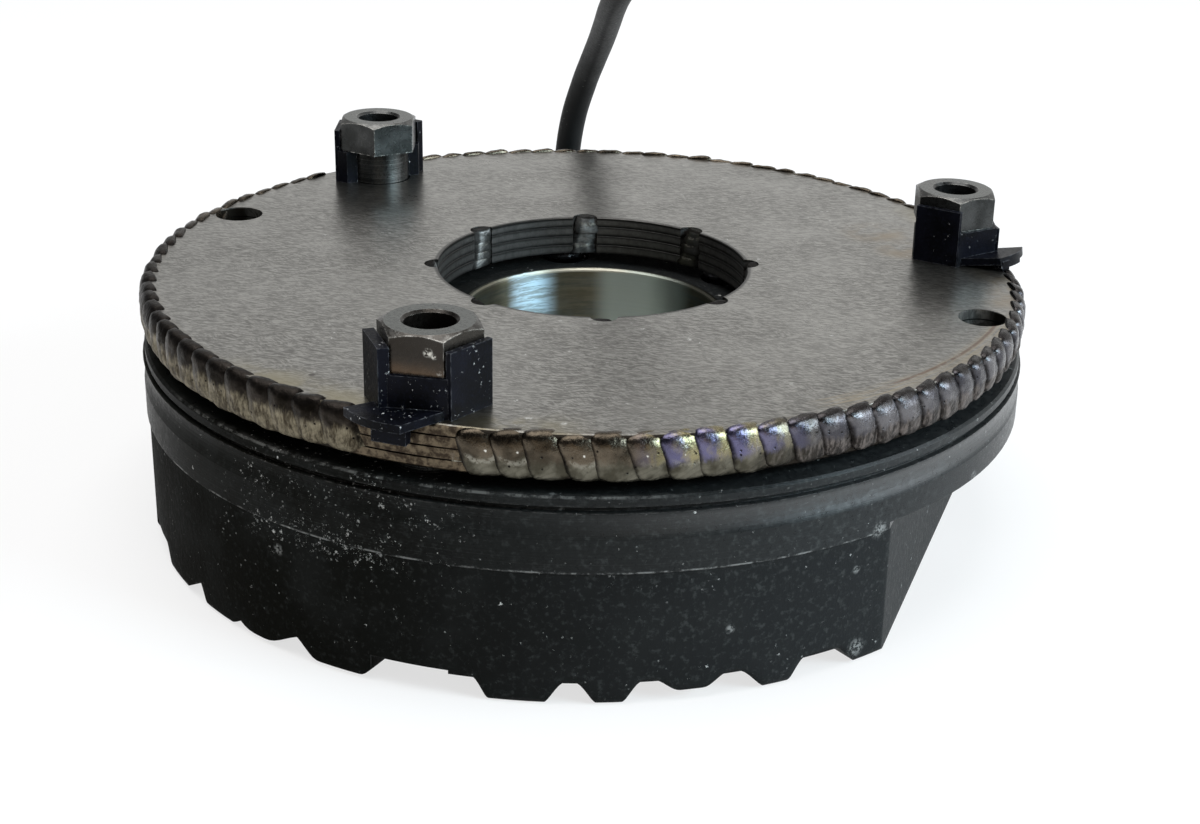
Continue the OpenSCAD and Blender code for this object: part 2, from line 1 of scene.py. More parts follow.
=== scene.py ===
"""Looks of the electromagnetic brake: lead, welds, finishes, studio and camera.

The brake stands on its rib crests at z = 0, with the shaft axis on Z and one sleeve bolt on +X.
Lengths are in metres, patterns in the finishes are in millimetres, and angles are in degrees from +X.
"""

import math

import bpy
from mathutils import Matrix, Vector


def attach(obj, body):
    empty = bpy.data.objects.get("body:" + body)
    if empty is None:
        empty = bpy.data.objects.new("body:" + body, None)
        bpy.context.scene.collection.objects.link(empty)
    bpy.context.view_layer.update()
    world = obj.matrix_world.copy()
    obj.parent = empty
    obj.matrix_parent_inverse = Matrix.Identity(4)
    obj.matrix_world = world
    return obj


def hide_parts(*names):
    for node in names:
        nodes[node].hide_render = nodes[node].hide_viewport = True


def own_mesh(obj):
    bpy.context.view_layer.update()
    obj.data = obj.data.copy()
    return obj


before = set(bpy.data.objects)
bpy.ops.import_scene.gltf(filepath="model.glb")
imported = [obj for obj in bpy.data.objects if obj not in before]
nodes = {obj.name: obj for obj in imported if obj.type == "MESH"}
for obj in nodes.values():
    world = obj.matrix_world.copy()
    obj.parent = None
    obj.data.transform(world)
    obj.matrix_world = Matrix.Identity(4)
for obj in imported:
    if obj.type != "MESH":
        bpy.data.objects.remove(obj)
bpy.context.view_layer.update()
scene = bpy.context.scene
scene.view_settings.view_transform = "Standard"

MM = 0.001

# Sizes that the brake's construction gives, in millimetres
PLATE_TOP = 36.3
PLATE_LOW = 30.3
SHEET = 1.5
PARTING_Z = 18.4
POLE_Z = 28.5
HEX_TOP = 46.6
BOLTS_R = 56.0
BOLT_ANGLES = (0, 120, 240)
FRONT_BOLT = (-28.0, -48.5, 42.0)


def place_camera():
    """The camera stands where the photograph was taken from; the view is shifted as that picture is cropped."""
    data = bpy.data.cameras.new("camera")
    data.sensor_width = 36
    data.lens = 57.0
    data.shift_x = -0.162
    data.shift_y = -0.045
    data.clip_start = 0.01
    data.clip_end = 10
    camera = bpy.data.objects.new("camera", data)
    camera.location = (-0.04563, -0.26479, 0.12700)
    camera.rotation_euler = [math.radians(a) for a in (68.71, -3.12, -15.08)]
    scene.collection.objects.link(camera)
    scene.camera = camera


class Tree:
    """Adds nodes to a material, a shader group or a geometry tree."""

    def __init__(self, tree):
        self.tree = tree

    def add(self, kind, inputs=None, **settings):
        """A node with its settings, and its inputs linked or set."""
        node = self.tree.nodes.new(kind)
        for name, value in settings.items():
            setattr(node, name, value)
        for key, value in (inputs or {}).items():
            self.feed(node.inputs[key], value)
        return node

    def feed(self, socket, value):
        """Links a socket to an input, or sets the input to a plain value."""
        if isinstance(value, bpy.types.NodeSocket):
            self.tree.links.new(value, socket)
        else:
            socket.default_value = value

    def math(self, operation, a, b=0.0, clamp=False):
        return self.add("ShaderNodeMath", {0: a, 1: b}, operation=operation, use_clamp=clamp).outputs[0]

    def both(self, first, *more):
        """Product of several masks."""
        for value in more:
            first = self.math("MULTIPLY", first, value)
        return first

    def most(self, first, *more):
        """The strongest of several masks."""
        for value in more:
            first = self.math("MAXIMUM", first, value)
        return first

    def vector(self, operation, a, b=(0, 0, 0)):
        return self.add("ShaderNodeVectorMath", {0: a, 1: b}, operation=operation).outputs[0]

    def measure(self, operation, a, b=(0, 0, 0)):
        """A number from vectors: their distance or dot product, or the length of one."""
        return self.add("ShaderNodeVectorMath", {0: a, 1: b}, operation=operation).outputs["Value"]

    def scaled(self, a, size):
        return self.add("ShaderNodeVectorMath", {0: a, "Scale": size}, operation="SCALE").outputs[0]

    def xyz(self, x=0.0, y=0.0, z=0.0):
        return self.add("ShaderNodeCombineXYZ", {0: x, 1: y, 2: z}).outputs[0]

    def split(self, vector):
        return self.add("ShaderNodeSeparateXYZ", {0: vector}).outputs

    def ramp(self, value, low, high, to_low=0.0, to_high=1.0):
        """Smooth step of a value between two limits."""
        inputs = {"Value": value, "From Min": low, "From Max": high, "To Min": to_low, "To Max": to_high}
        return self.add("ShaderNodeMapRange", inputs, interpolation_type="SMOOTHSTEP").outputs[0]

    def band(self, value, middle, half, soft):
        """Mask of the values near a middle, 1 within half of it and 0 past the soft edge."""
        away = self.math("ABSOLUTE", self.math("SUBTRACT", value, middle))
        return self.ramp(away, half, half + soft, 1.0, 0.0)

    def mix(self, share, a, b):
        """Mix of two colours."""
        inputs = {"Factor": share, 6: as_colour(a), 7: as_colour(b)}
        return self.add("ShaderNodeMix", inputs, data_type="RGBA").outputs[2]

    def noise(self, vector, scale, detail=2.0, rough=0.5, stretch=None, output=0):
        """Noise from 0 to 1; its middle is near 0.5. Its colour is three such values."""
        if stretch:
            vector = self.vector("MULTIPLY", vector, stretch)
        inputs = {"Vector": vector, "Scale": scale, "Detail": detail, "Roughness": rough}
        return self.add("ShaderNodeTexNoise", inputs).outputs[output]

    def turned(self, vector, angle):
        """A vector turned about Z."""
        return self.add("ShaderNodeVectorRotate", {"Vector": vector, "Angle": angle},
                        rotation_type="Z_AXIS").outputs[0]


def as_colour(value):
    return (*value, 1.0) if isinstance(value, tuple) and len(value) == 3 else value


def new_group(kind, name, inputs, outputs):
    """An empty node group with named sockets: itself, its tree, the sockets coming in, the node going out."""
    group = bpy.data.node_groups.new(name, kind)
    for label, form, value in inputs:
        socket = group.interface.new_socket(label, in_out="INPUT", socket_type="NodeSocket" + form)
        if value is not None:
            socket.default_value = value
    for label, form in outputs:
        group.interface.new_socket(label, in_out="OUTPUT", socket_type="NodeSocket" + form)
    tree = Tree(group)
    return group, tree, tree.add("NodeGroupInput").outputs, tree.add("NodeGroupOutput")


def close_group(tree, end, **results):
    """Links a group's results to the node going out."""
    for label, socket in results.items():
        tree.tree.links.new(socket, end.inputs[label.replace("_", " ")])


def edge_wear_effect():
    """Mask of rubbed edges: where the rounded normal leaves the flat one, broken up by noise."""
    group, t, given, end = new_group(
        "ShaderNodeTree", "edge wear",
        [("Position", "Vector", None), ("Width", "Float", 0.0004), ("Breakup", "Float", 1.0),
         ("Start", "Float", 0.02)],
        [("Wear", "Float")])
    rounded = t.add("ShaderNodeBevel", {"Radius": given["Width"]}, samples=6).outputs[0]
    flat = t.add("ShaderNodeNewGeometry").outputs["True Normal"]
    bend = t.math("SUBTRACT", 1.0, t.measure("DOT_PRODUCT", rounded, flat))
    broken = t.ramp(t.noise(given["Position"], given["Breakup"], 3.0, 0.6), 0.38, 0.62)
    close_group(t, end, Wear=t.math("MULTIPLY", t.ramp(bend, given["Start"], 0.25), broken, clamp=True))
    return group


def specks_effect():
    """Dust and paint specks: ragged grains of many sizes that lie thicker in patches."""
    group, t, given, end = new_group(
        "ShaderNodeTree", "dust specks",
        [("Position", "Vector", None), ("Size", "Float", 0.35), ("Patch size", "Float", 9.0),
         ("Amount", "Float", 0.5)],
        [("Specks", "Float")])
    grain_scale = t.math("DIVIDE", 1.0, given["Size"])
    ragged = t.noise(given["Position"], t.math("MULTIPLY", grain_scale, 2.2), 2.0, 0.7, output="Color")
    shift = t.scaled(t.vector("SUBTRACT", ragged, (0.5, 0.5, 0.5)), t.math("MULTIPLY", given["Size"], 2.4))
    place = t.vector("ADD", given["Position"], shift)
    cells = t.add("ShaderNodeTexVoronoi", {"Vector": place, "Scale": grain_scale, "Randomness": 1.0})
    chance = t.split(cells.outputs["Color"])
    patches = t.noise(given["Position"], t.math("DIVIDE", 1.0, given["Patch size"]), 4.0, 0.7)
    level = t.math("MULTIPLY", t.ramp(patches, 0.44, 0.66), given["Amount"])
    chosen = t.math("LESS_THAN", chance[0], level)
    reach = t.math("MULTIPLY", t.math("POWER", chance[1], 2.5), 0.5)
    grain = t.ramp(cells.outputs["Distance"], reach, t.math("ADD", reach, 0.1), 1.0, 0.0)
    close_group(t, end, Specks=t.both(chosen, grain, t.ramp(chance[2], 0.0, 1.0, 0.35, 1.0)))
    return group


def mottle_effect():
    """Slow and fine variation of a surface, each around 0.5."""
    group, t, given, end = new_group(
        "ShaderNodeTree", "mottle",
        [("Position", "Vector", None), ("Slow size", "Float", 14.0), ("Fine size", "Float", 1.5)],
        [("Slow", "Float"), ("Fine", "Float")])
    slow = t.noise(given["Position"], t.math("DIVIDE", 1.0, given["Slow size"]), 4.0, 0.55)
    fine = t.noise(given["Position"], t.math("DIVIDE", 1.0, given["Fine size"]), 4.0, 0.65)
    close_group(t, end, Slow=slow, Fine=fine)
    return group


def turned_effect():
    """Fine lines left by a lathe tool, from a coordinate along the turned surface."""
    group, t, given, end = new_group(
        "ShaderNodeTree", "turned lines",
        [("Along", "Float", 0.0), ("Pitch", "Float", 0.3)],
        [("Lines", "Float"), ("Bands", "Float")])
    count = t.math("DIVIDE", given["Along"], given["Pitch"])
    lines = t.add("ShaderNodeTexNoise", {"W": count, "Scale": 1.0, "Detail": 3.0, "Roughness": 0.7},
                  noise_dimensions="1D").outputs[0]
    bands = t.add("ShaderNodeTexNoise", {"W": count, "Scale": 0.12, "Detail": 1.0},
                  noise_dimensions="1D").outputs[0]
    close_group(t, end, Lines=lines, Bands=bands)
    return group


def grain_effect():
    """Wavy grain of a ground face: drifting strokes in two crossing directions and a few bright scratches."""
    group, t, given, end = new_group(
        "ShaderNodeTree", "ground grain",
        [("Position", "Vector", None), ("Turn", "Float", 0.0), ("Length", "Float", 1.9),
         ("Width", "Float", 0.34), ("Crossing", "Float", 0.45)],
        [("Grain", "Float"), ("Scratches", "Float")])
    drift = t.noise(given["Position"], 0.14, output="Color")
    drift = t.scaled(t.vector("SUBTRACT", drift, (0.5, 0.5, 0.5)), 5.0)
    place = t.turned(given["Position"], given["Turn"])
    size = t.xyz(t.math("DIVIDE", 1.0, given["Length"]), t.math("DIVIDE", 1.0, given["Width"]), 0.05)
    wavy = t.vector("ADD", place, drift)
    tilted = t.turned(t.vector("SUBTRACT", place, drift), given["Crossing"])
    short_size = t.vector("MULTIPLY", size, (1.6, 1.3, 1.0))
    scratch_size = t.vector("MULTIPLY", size, (0.45, 1.9, 1.0))
    long_strokes = t.noise(t.vector("MULTIPLY", wavy, size), 1.0, 5.0, 0.7)
    short_strokes = t.noise(t.vector("MULTIPLY", tilted, short_size), 1.0, 5.0, 0.8)
    strokes = t.math("MULTIPLY", t.math("ADD", long_strokes, short_strokes), 0.5)
    scratches = t.ramp(t.noise(t.vector("MULTIPLY", wavy, scratch_size), 1.0, 1.0), 0.68, 0.8)
    close_group(t, end, Grain=strokes, Scratches=scratches)
    return group


EDGE_WEAR = edge_wear_effect()
SPECKS = specks_effect()
MOTTLE = mottle_effect()
TURNED = turned_effect()
GRAIN = grain_effect()


class Finish(Tree):
    """A material: one Principled shader, with the position on the piece in millimetres and its usual parts."""

    def __init__(self, name, **plain):
        self.material = bpy.data.materials.new(name)
        self.material.use_nodes = True
        super().__init__(self.material.node_tree)
        self.shader = self.tree.nodes["Principled BSDF"]
        for label, value in plain.items():
            self.shader.inputs[label.replace("_", " ")].default_value = as_colour(value)
        self.at = self.scaled(self.add("ShaderNodeTexCoord").outputs["Object"], 1000.0)
        self.x, self.y, self.z = self.split(self.at)[0:3]

    def radius(self, x=0.0, y=0.0):
        """Distance from a line along Z through a point, in millimetres."""
        flat = self.vector("MULTIPLY", self.vector("SUBTRACT", self.at, (x, y, 0)), (1, 1, 0))
        return self.measure("LENGTH", flat)

    def sector(self, angle, half, soft):
        """Mask of the directions round the shaft axis near an angle, with a soft border, in degrees."""
        out = self.vector("NORMALIZE", self.vector("MULTIPLY", self.at, (1, 1, 0)))
        aim = (math.cos(math.radians(angle)), math.sin(math.radians(angle)), 0)
        share = self.measure("DOT_PRODUCT", out, aim)
        return self.ramp(share, math.cos(math.radians(half + soft)), math.cos(math.radians(half)))

    def near(self, point, reach, soft=0.5):
        """Mask round a point in millimetres, from 1 inside to 0 at the reach."""
        away = self.measure("DISTANCE", self.at, point)
        return self.ramp(away, reach * (1 - soft), reach, 1.0, 0.0)

    def marks(self, places):
        """Mask of several small ragged marks, given as points and reaches in millimetres."""
        round_marks = self.most(*(self.near(point, reach, 0.7) for point, reach in places))
        return self.both(round_marks, self.ramp(self.noise(self.at, 2.2, 3.0, 0.7), 0.42, 0.56))

    def place(self, group, **inputs):
        """An effect's group in this material, with its own values and, where it takes it, the position."""
        node = self.add("ShaderNodeGroup", node_tree=group)
        for label, value in {"Position": self.at, **inputs}.items():
            label = label.replace("_", " ")
            if label in node.inputs:
                self.feed(node.inputs[label], value)
        return node.outputs

    def mottled(self, slow_size, fine_size):
        """The slow and the fine variation of the surface, with their sizes in millimetres."""
        found = self.place(MOTTLE, Slow_size=slow_size, Fine_size=fine_size)
        return found["Slow"], found["Fine"]

    def specks(self, size, patch_size, amount):
        """Mask of dust and paint specks, with their sizes in millimetres."""
        return self.place(SPECKS, Size=size, Patch_size=patch_size, Amount=amount)["Specks"]

    def worn(self, width_mm, breakup, start):
        """Mask of the rubbed edges."""
        return self.place(EDGE_WEAR, Width=width_mm * MM, Breakup=breakup, Start=start)["Wear"]

    def bump(self, height, depth_mm, normal=None):
        """The surface's normal with a relief of a depth in millimetres."""
        inputs = {"Height": height, "Distance": depth_mm * MM}
        if normal:
            inputs["Normal"] = normal
        return self.add("ShaderNodeBump", inputs).outputs[0]

    def use(self, **sockets):
        """Links the finished patterns to the shader and gives the material."""
        for label, socket in sockets.items():
            self.tree.links.new(socket, self.shader.inputs[label.replace("_", " ")])
        return self.material


def paint(material, *names):
    """Gives CAD nodes a finish."""
    for name in names:
        mesh = nodes[name].data
        mesh.materials.clear()
        mesh.materials.append(material)


def as_mesh(piece):
    """The piece's evaluated shape as a plain mesh object in its place, without modifiers."""
    view = bpy.context.evaluated_depsgraph_get()
    shape = bpy.data.meshes.new_from_object(
        piece.evaluated_get(view), preserve_all_data_layers=True, depsgraph=view)
    name = piece.name
    bpy.data.objects.remove(piece)
    shape.name = name
    made = bpy.data.objects.new(name, shape)
    scene.collection.objects.link(made)
    return made


def hand_over(piece, body, replaced):
    """The piece rides on a body in place of CAD nodes, which are hidden."""
    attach(piece, body)
    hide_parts(*replaced)


# The lead in metres, and the middle of its route from the grommet over the arch to the floor, in millimetres
LEAD_DIAMETER = 0.0048
LEAD_ROUTE_MM = [
    (5.5, 52, 10.5), (6.3, 60, 10.5), (7.2, 68.5, 10.5), (7.6, 72.5, 10.5), (8.5, 81, 12.3), (9.3, 88.2, 17.3),
    (10.2, 92.4, 25), (11.3, 92.7, 33.6), (12.8, 89.3, 41.8), (13.6, 84, 47.6), (13.9, 77.3, 52.8),
    (13.6, 69.5, 57.6), (13, 61, 62.2), (12.8, 52, 67), (13.8, 43, 72), (17, 34.5, 77), (22.5, 27, 81.5),
    (30, 21, 85.5), (39.5, 17, 88.5), (50, 14.5, 90.5), (61, 13, 91), (72, 12, 90), (82.5, 11.5, 87),
    (92.5, 11, 82.5), (101.5, 11, 76), (109.5, 11, 68), (116, 11, 59), (121.5, 10.5, 49.5), (126, 9.5, 39.5),
    (130, 7.5, 29.5), (134.5, 4, 20.5), (139.5, -1.5, 13), (144, -9, 7), (147, -18, 3.6), (147, -28, 2.4),
    (143.5, -37.5, 2.4), (136.5, -45, 2.4)
]


def round_cord(name, route_mm, diameter, material):
    """A round cord as one smooth open spline through the route's points."""
    curve = bpy.data.curves.new(name, "CURVE")
    curve.dimensions = "3D"
    curve.bevel_depth = diameter / 2
    curve.bevel_resolution = 6
    curve.resolution_u = 6
    curve.use_fill_caps = True
    spline = curve.splines.new("BEZIER")
    spline.bezier_points.add(len(route_mm) - 1)
    for point, place in zip(spline.bezier_points, route_mm):
        point.co = [c * MM for c in place]
        point.handle_left_type = point.handle_right_type = "AUTO"
    curve.materials.append(material)
    piece = bpy.data.objects.new(name, curve)
    scene.collection.objects.link(piece)
    return piece


def lead_finish():
    """Matt black jacket, a little dusty, with faint marks of handling."""
    f = Finish("lead jacket", Specular_IOR_Level=0.10)
    slow, fine = f.mottled(12.0, 0.5)
    specks = f.specks(0.3, 8.0, 0.12)
    base = f.mix(f.ramp(slow, 0.35, 0.7), (0.0045, 0.0050, 0.0050), (0.0095, 0.0100, 0.0100))
    base = f.mix(f.both(specks, 0.5), base, (0.3, 0.3, 0.28))
    rough = f.ramp(fine, 0.3, 0.7, 0.42, 0.56)
    return f.use(Base_Color=base, Roughness=rough, Normal=f.bump(fine, 0.03))


def make_lead():
    """The lead's jacket as one round cord that rides on the stator in place of the CAD lead."""
    lead = round_cord("lead_jacket", LEAD_ROUTE_MM, LEAD_DIAMETER, lead_finish())
    hand_over(lead, "stator", ["lead"])


place_camera()
make_lead()

# Share of plain white in what camera, glossy and clear rays see of the floor
FLOOR_WHITE = 0.7


def make_floor():
    """Pale floor. Camera, glossy and clear rays see it white, less the object's shadow."""
    bpy.ops.mesh.primitive_plane_add(size=8)
    floor = bpy.context.object
    floor.name = "floor"
    material = bpy.data.materials.new("pale floor")
    material.use_nodes = True
    t = Tree(material.node_tree)
    shader = t.tree.nodes["Principled BSDF"]
    shader.inputs["Base Color"].default_value = (0.90, 0.90, 0.90, 1)
    shader.inputs["Roughness"].default_value = 0.9
    shader.inputs["Specular IOR Level"].default_value = 0.1
    path = t.add("ShaderNodeLightPath").outputs
    seen = t.most(path["Is Camera Ray"], path["Is Glossy Ray"], path["Is Transmission Ray"])
    white = t.add("ShaderNodeEmission", {"Color": (1, 1, 1, 1), "Strength": 1.0}).outputs[0]
    seen_share = t.math("MULTIPLY", seen, FLOOR_WHITE)
    both = t.add("ShaderNodeMixShader", {0: seen_share, 1: shader.outputs[0], 2: white}).outputs[0]
    t.tree.links.new(both, t.tree.nodes["Material Output"].inputs["Surface"])
    floor.data.materials.append(material)


def make_backdrop():
    """The world is white to the camera. What gloss shows is pale behind the brake and dim in front of it."""
    world = bpy.data.worlds.new("backdrop")
    scene.world = world
    world.use_nodes = True
    t = Tree(world.node_tree)
    t.tree.nodes.clear()
    way = t.add("ShaderNodeTexCoord").outputs["Generated"]
    behind = t.measure("DOT_PRODUCT", way, (0.62, 0.75, 0.15))
    gloss = t.mix(t.ramp(behind, 0.1, 0.95), (0.08, 0.08, 0.085), (0.86, 0.86, 0.85))
    path = t.add("ShaderNodeLightPath").outputs
    tone = t.mix(path["Is Glossy Ray"], (0.30, 0.30, 0.30), gloss)
    clear = t.math("MAXIMUM", path["Is Camera Ray"], path["Is Transmission Ray"])
    tone = t.mix(clear, tone, (1, 1, 1))
    light = t.add("ShaderNodeBackground", {"Color": tone, "Strength": 1.0}).outputs[0]
    t.add("ShaderNodeOutputWorld", {"Surface": light})


def soft_light(name, place, aim, size, power, colour=(1, 1, 1)):
    """A rectangular lamp, in metres and watts, that is aimed at a point."""
    data = bpy.data.lights.new(name, "AREA")
    data.shape = "RECTANGLE"
    data.size, data.size_y = size
    data.energy = power
    data.color = colour
    lamp = bpy.data.objects.new(name, data)
    lamp.location = place
    lamp.rotation_euler = (Vector(aim) - Vector(place)).to_track_quat("-Z", "Y").to_euler()
    scene.collection.objects.link(lamp)


def make_light():
    """Four soft lamps: one overhead, two to the right as in a window, and a weak warm one in front."""
    soft_light("overhead", (-0.12, 0.05, 0.9), (0, 0, 0.03), (0.80, 0.80), 7.5)
    soft_light("window", (0.80, -0.22, 0.34), (0, 0, 0.02), (0.45, 0.55), 5.0, (0.84, 0.93, 1.0))
    soft_light("window_pane", (0.60, -0.48, 0.42), (0, 0, 0.03), (0.34, 0.30), 5.5, (0.66, 0.88, 1.0))
    soft_light("warm_wall", (-0.10, -0.95, 0.20), (0, 0, 0.03), (0.6, 0.25), 0.45, (1.0, 0.88, 0.72))


make_floor()
make_backdrop()
make_light()


# Bead of a weld, in millimetres: half its width, half its height and how far it stands out; and its lean
BEAD = {"Width": 2.75, "Height": 3.15, "Bulge": 1.9, "Lean": 0.24}
TACK_BEAD = {"Width": 2.0, "Height": 1.9, "Bulge": 1.25, "Lean": -0.3}
BEAD_SIZES = [(label, "Float", value) for label, value in BEAD.items()]

# Lumps on a bead's skin: how many in a metre, and how high in metres
LUMPS_PER_METRE = 620.0
LUMP_HEIGHT = 0.00055

# Direction of the front, where the weld is flush with the plate's top
FLUSH_SIDE = (math.cos(math.radians(256)), math.sin(math.radians(256)), 0)


def random_value(t, low, high, seed, nth=0):
    """A random number for each point. The nth draw of a tree adds n to its seed."""
    if nth:
        seed = t.math("ADD", seed, float(nth))
    return t.add("FunctionNodeRandomValue", {2: low, 3: high, "Seed": seed}, data_type="FLOAT").outputs[1]


def in_rows(t, size):
    """The row of each point, when the points are counted off in rows of a size, and its number in the row."""
    index = t.add("GeometryNodeInputIndex").outputs[0]
    row = t.math("FLOOR", t.math("DIVIDE", t.math("ADD", index, 0.5), size))
    return row, t.math("SUBTRACT", index, t.math("MULTIPLY", row, size))


def outwards(t, first, step, rows, row):
    """Cosine and sine of an angle in degrees: the first row's, a step, and the row's share of a whole turn."""
    degrees = t.math("ADD", t.math("ADD", first, step), t.both(row, t.math("DIVIDE", 360.0, rows)))
    angle = t.math("RADIANS", degrees)
    return t.math("COSINE", angle), t.math("SINE", angle)


def put_round(t, points, out, radius, height):
    """Moves the points out to a radius and up to a height, in millimetres."""
    radius, height = t.math("MULTIPLY", radius, MM), t.math("MULTIPLY", height, MM)
    place = t.vector("ADD", t.scaled(out, radius), t.xyz(z=height))
    return t.add("GeometryNodeSetPosition", {"Geometry": points, "Position": place}).outputs[0]


def bead_group():
    """One domed scale of weld in millimetres, X along the weld, Y up the edge, Z outwards. It keeps its own
    coordinates from -1 to 1 in the attribute "bead", so that the finish can follow its crown and its rims."""
    group, t, given, end = new_group("GeometryNodeTree", "weld bead", BEAD_SIZES, [("Geometry", "Geometry")])
    ball = t.add("GeometryNodeMeshUVSphere", {"Segments": 30, "Rings": 18, "Radius": 1.0}).outputs[0]
    at = t.add("GeometryNodeInputPosition").outputs[0]
    marked = t.add("GeometryNodeStoreNamedAttribute", {"Geometry": ball, "Name": "bead", "Value": at},
                   data_type="FLOAT_VECTOR", domain="POINT").outputs[0]
    x, y, z = t.split(at)[0:3]
    square_x = t.math("ADD", t.both(y, y, 0.42), 1.0)
    square_y = t.math("ADD", t.both(x, x, 0.34), 1.0)
    up = t.both(y, square_y, given["Height"])
    wide_right = t.math("ADD", t.both(t.math("MAXIMUM", x, 0.0), t.ramp(y, 0.6, 0.0), 0.6), 1.0)
    along = t.math("SUBTRACT", t.both(x, square_x, wide_right, given["Width"]), t.both(up, given["Lean"]))
    front = t.math("POWER", t.math("MAXIMUM", z, 0.0), t.ramp(y, -0.6, 0.2, 0.42, 0.68))
    back = t.math("MULTIPLY", t.math("MINIMUM", z, 0.0), 0.35)
    out = t.math("MULTIPLY", t.math("ADD", front, back), given["Bulge"])
    shaped = t.add("GeometryNodeSetPosition", {
        "Geometry": marked, "Position": t.xyz(along, up, out)}).outputs[0]
    close_group(t, end, Geometry=shaped)
    return group


def finish_beads(t, given, end, points, facing, upward, size):
    """Sets the beads on their points, roughens them, keeps them between a lowest and a highest height, and ends
    in Realize Instances and Set Material."""
    marked = t.add("GeometryNodeStoreNamedAttribute", {
        "Geometry": points, "Name": "chance", "Value": random_value(t, 0.0, 1.0, given["Seed"])},
        data_type="FLOAT", domain="POINT").outputs[0]
    bead = t.add("GeometryNodeGroup", node_tree=BEAD_GROUP)
    for label in BEAD:
        t.feed(bead.inputs[label], given[label])
    turn = t.add("FunctionNodeAxesToRotation", {"Primary Axis": facing, "Secondary Axis": upward},
                 primary_axis="Z", secondary_axis="Y").outputs[0]
    rows = t.add("GeometryNodeInstanceOnPoints", {
        "Points": marked, "Instance": bead.outputs[0], "Rotation": turn,
        "Scale": t.scaled(size, MM)}).outputs[0]
    beads = t.add("GeometryNodeRealizeInstances", {"Geometry": rows}).outputs[0]
    at = t.add("GeometryNodeInputPosition").outputs[0]
    rough = t.math("SUBTRACT", t.noise(t.scaled(at, LUMPS_PER_METRE), 1.0, 3.0, 0.6), 0.5)
    push = t.scaled(t.add("GeometryNodeInputNormal").outputs[0], t.math("MULTIPLY", rough, LUMP_HEIGHT))
    uneven = t.add("GeometryNodeSetPosition", {"Geometry": beads, "Offset": push}).outputs[0]
    x, y, z = t.split(t.add("GeometryNodeInputPosition").outputs[0])[0:3]
    z = t.math("MAXIMUM", z, t.math("MULTIPLY", given["Lowest"], MM))
    z = t.math("MINIMUM", z, t.math("MULTIPLY", given["Highest"], MM))
    kept = t.add("GeometryNodeSetPosition", {"Geometry": uneven, "Position": t.xyz(x, y, z)}).outputs[0]
    smooth = t.add("GeometryNodeSetShadeSmooth", {"Geometry": kept}).outputs[0]
    done = t.add("GeometryNodeSetMaterial", {"Geometry": smooth, "Material": given["Finish"]}).outputs[0]
    close_group(t, end, Geometry=done)


def edge_weld_group():
    """The armature's edge weld: equal lengths of leaning scales between the bolts, each over its left
    neighbour. A length starts with a stub, a small low bead."""
    group, t, given, end = new_group(
        "GeometryNodeTree", "edge weld",
        [("Geometry", "Geometry", None), ("Lengths", "Int", 3), ("Beads", "Int", 29),
         ("First angle", "Float", 6.4), ("Arc", "Float", 107.2), ("Radius", "Float", 62.0),
         ("Middle", "Float", 33.3), ("Turn", "Float", 0.19), ("Lowest", "Float", 30.32),
         ("Highest", "Float", 37.0), ("Finish", "Material", None), ("Seed", "Int", 5)] + BEAD_SIZES,
        [("Geometry", "Geometry")])
    per_length = t.math("ADD", given["Beads"], 1.0)
    count = t.math("MULTIPLY", per_length, given["Lengths"])
    points = t.add("GeometryNodePoints", {"Count": count}).outputs[0]
    length_no, number = in_rows(t, per_length)
    stub = t.math("LESS_THAN", number, 0.5)
    step = t.math("ADD", t.math("SUBTRACT", number, 0.5), t.math("MULTIPLY", stub, 0.30))
    step = t.math("ADD", step, random_value(t, -0.06, 0.06, given["Seed"]))
    step = t.both(step, t.math("DIVIDE", given["Arc"], given["Beads"]))
    cosine, sine = outwards(t, given["First angle"], step, given["Lengths"], length_no)
    out = t.xyz(cosine, sine)
    along = t.xyz(t.math("MULTIPLY", sine, -1.0), cosine)
    lift = t.ramp(t.measure("DOT_PRODUCT", out, FLUSH_SIDE), 0.90, 0.985, 0.22, -0.08)
    lift = t.math("ADD", lift, random_value(t, -0.07, 0.07, given["Seed"], 1))
    lift = t.math("SUBTRACT", lift, t.math("MULTIPLY", stub, 1.15))
    put = put_round(t, points, out, given["Radius"], t.math("ADD", given["Middle"], lift))
    lean = t.math("ADD", given["Turn"], random_value(t, -0.05, 0.05, given["Seed"], 2))
    facing = t.vector("ADD", out, t.scaled(along, lean))
    sway = random_value(t, -0.09, 0.09, given["Seed"], 3)
    upward = t.vector("ADD", t.xyz(z=1.0), t.scaled(along, sway))
    size = t.math("SUBTRACT", random_value(t, 0.98, 1.03, given["Seed"], 4), t.math("MULTIPLY", stub, 0.5))
    finish_beads(t, given, end, put, facing, upward, t.xyz(size, size, size))
    return group


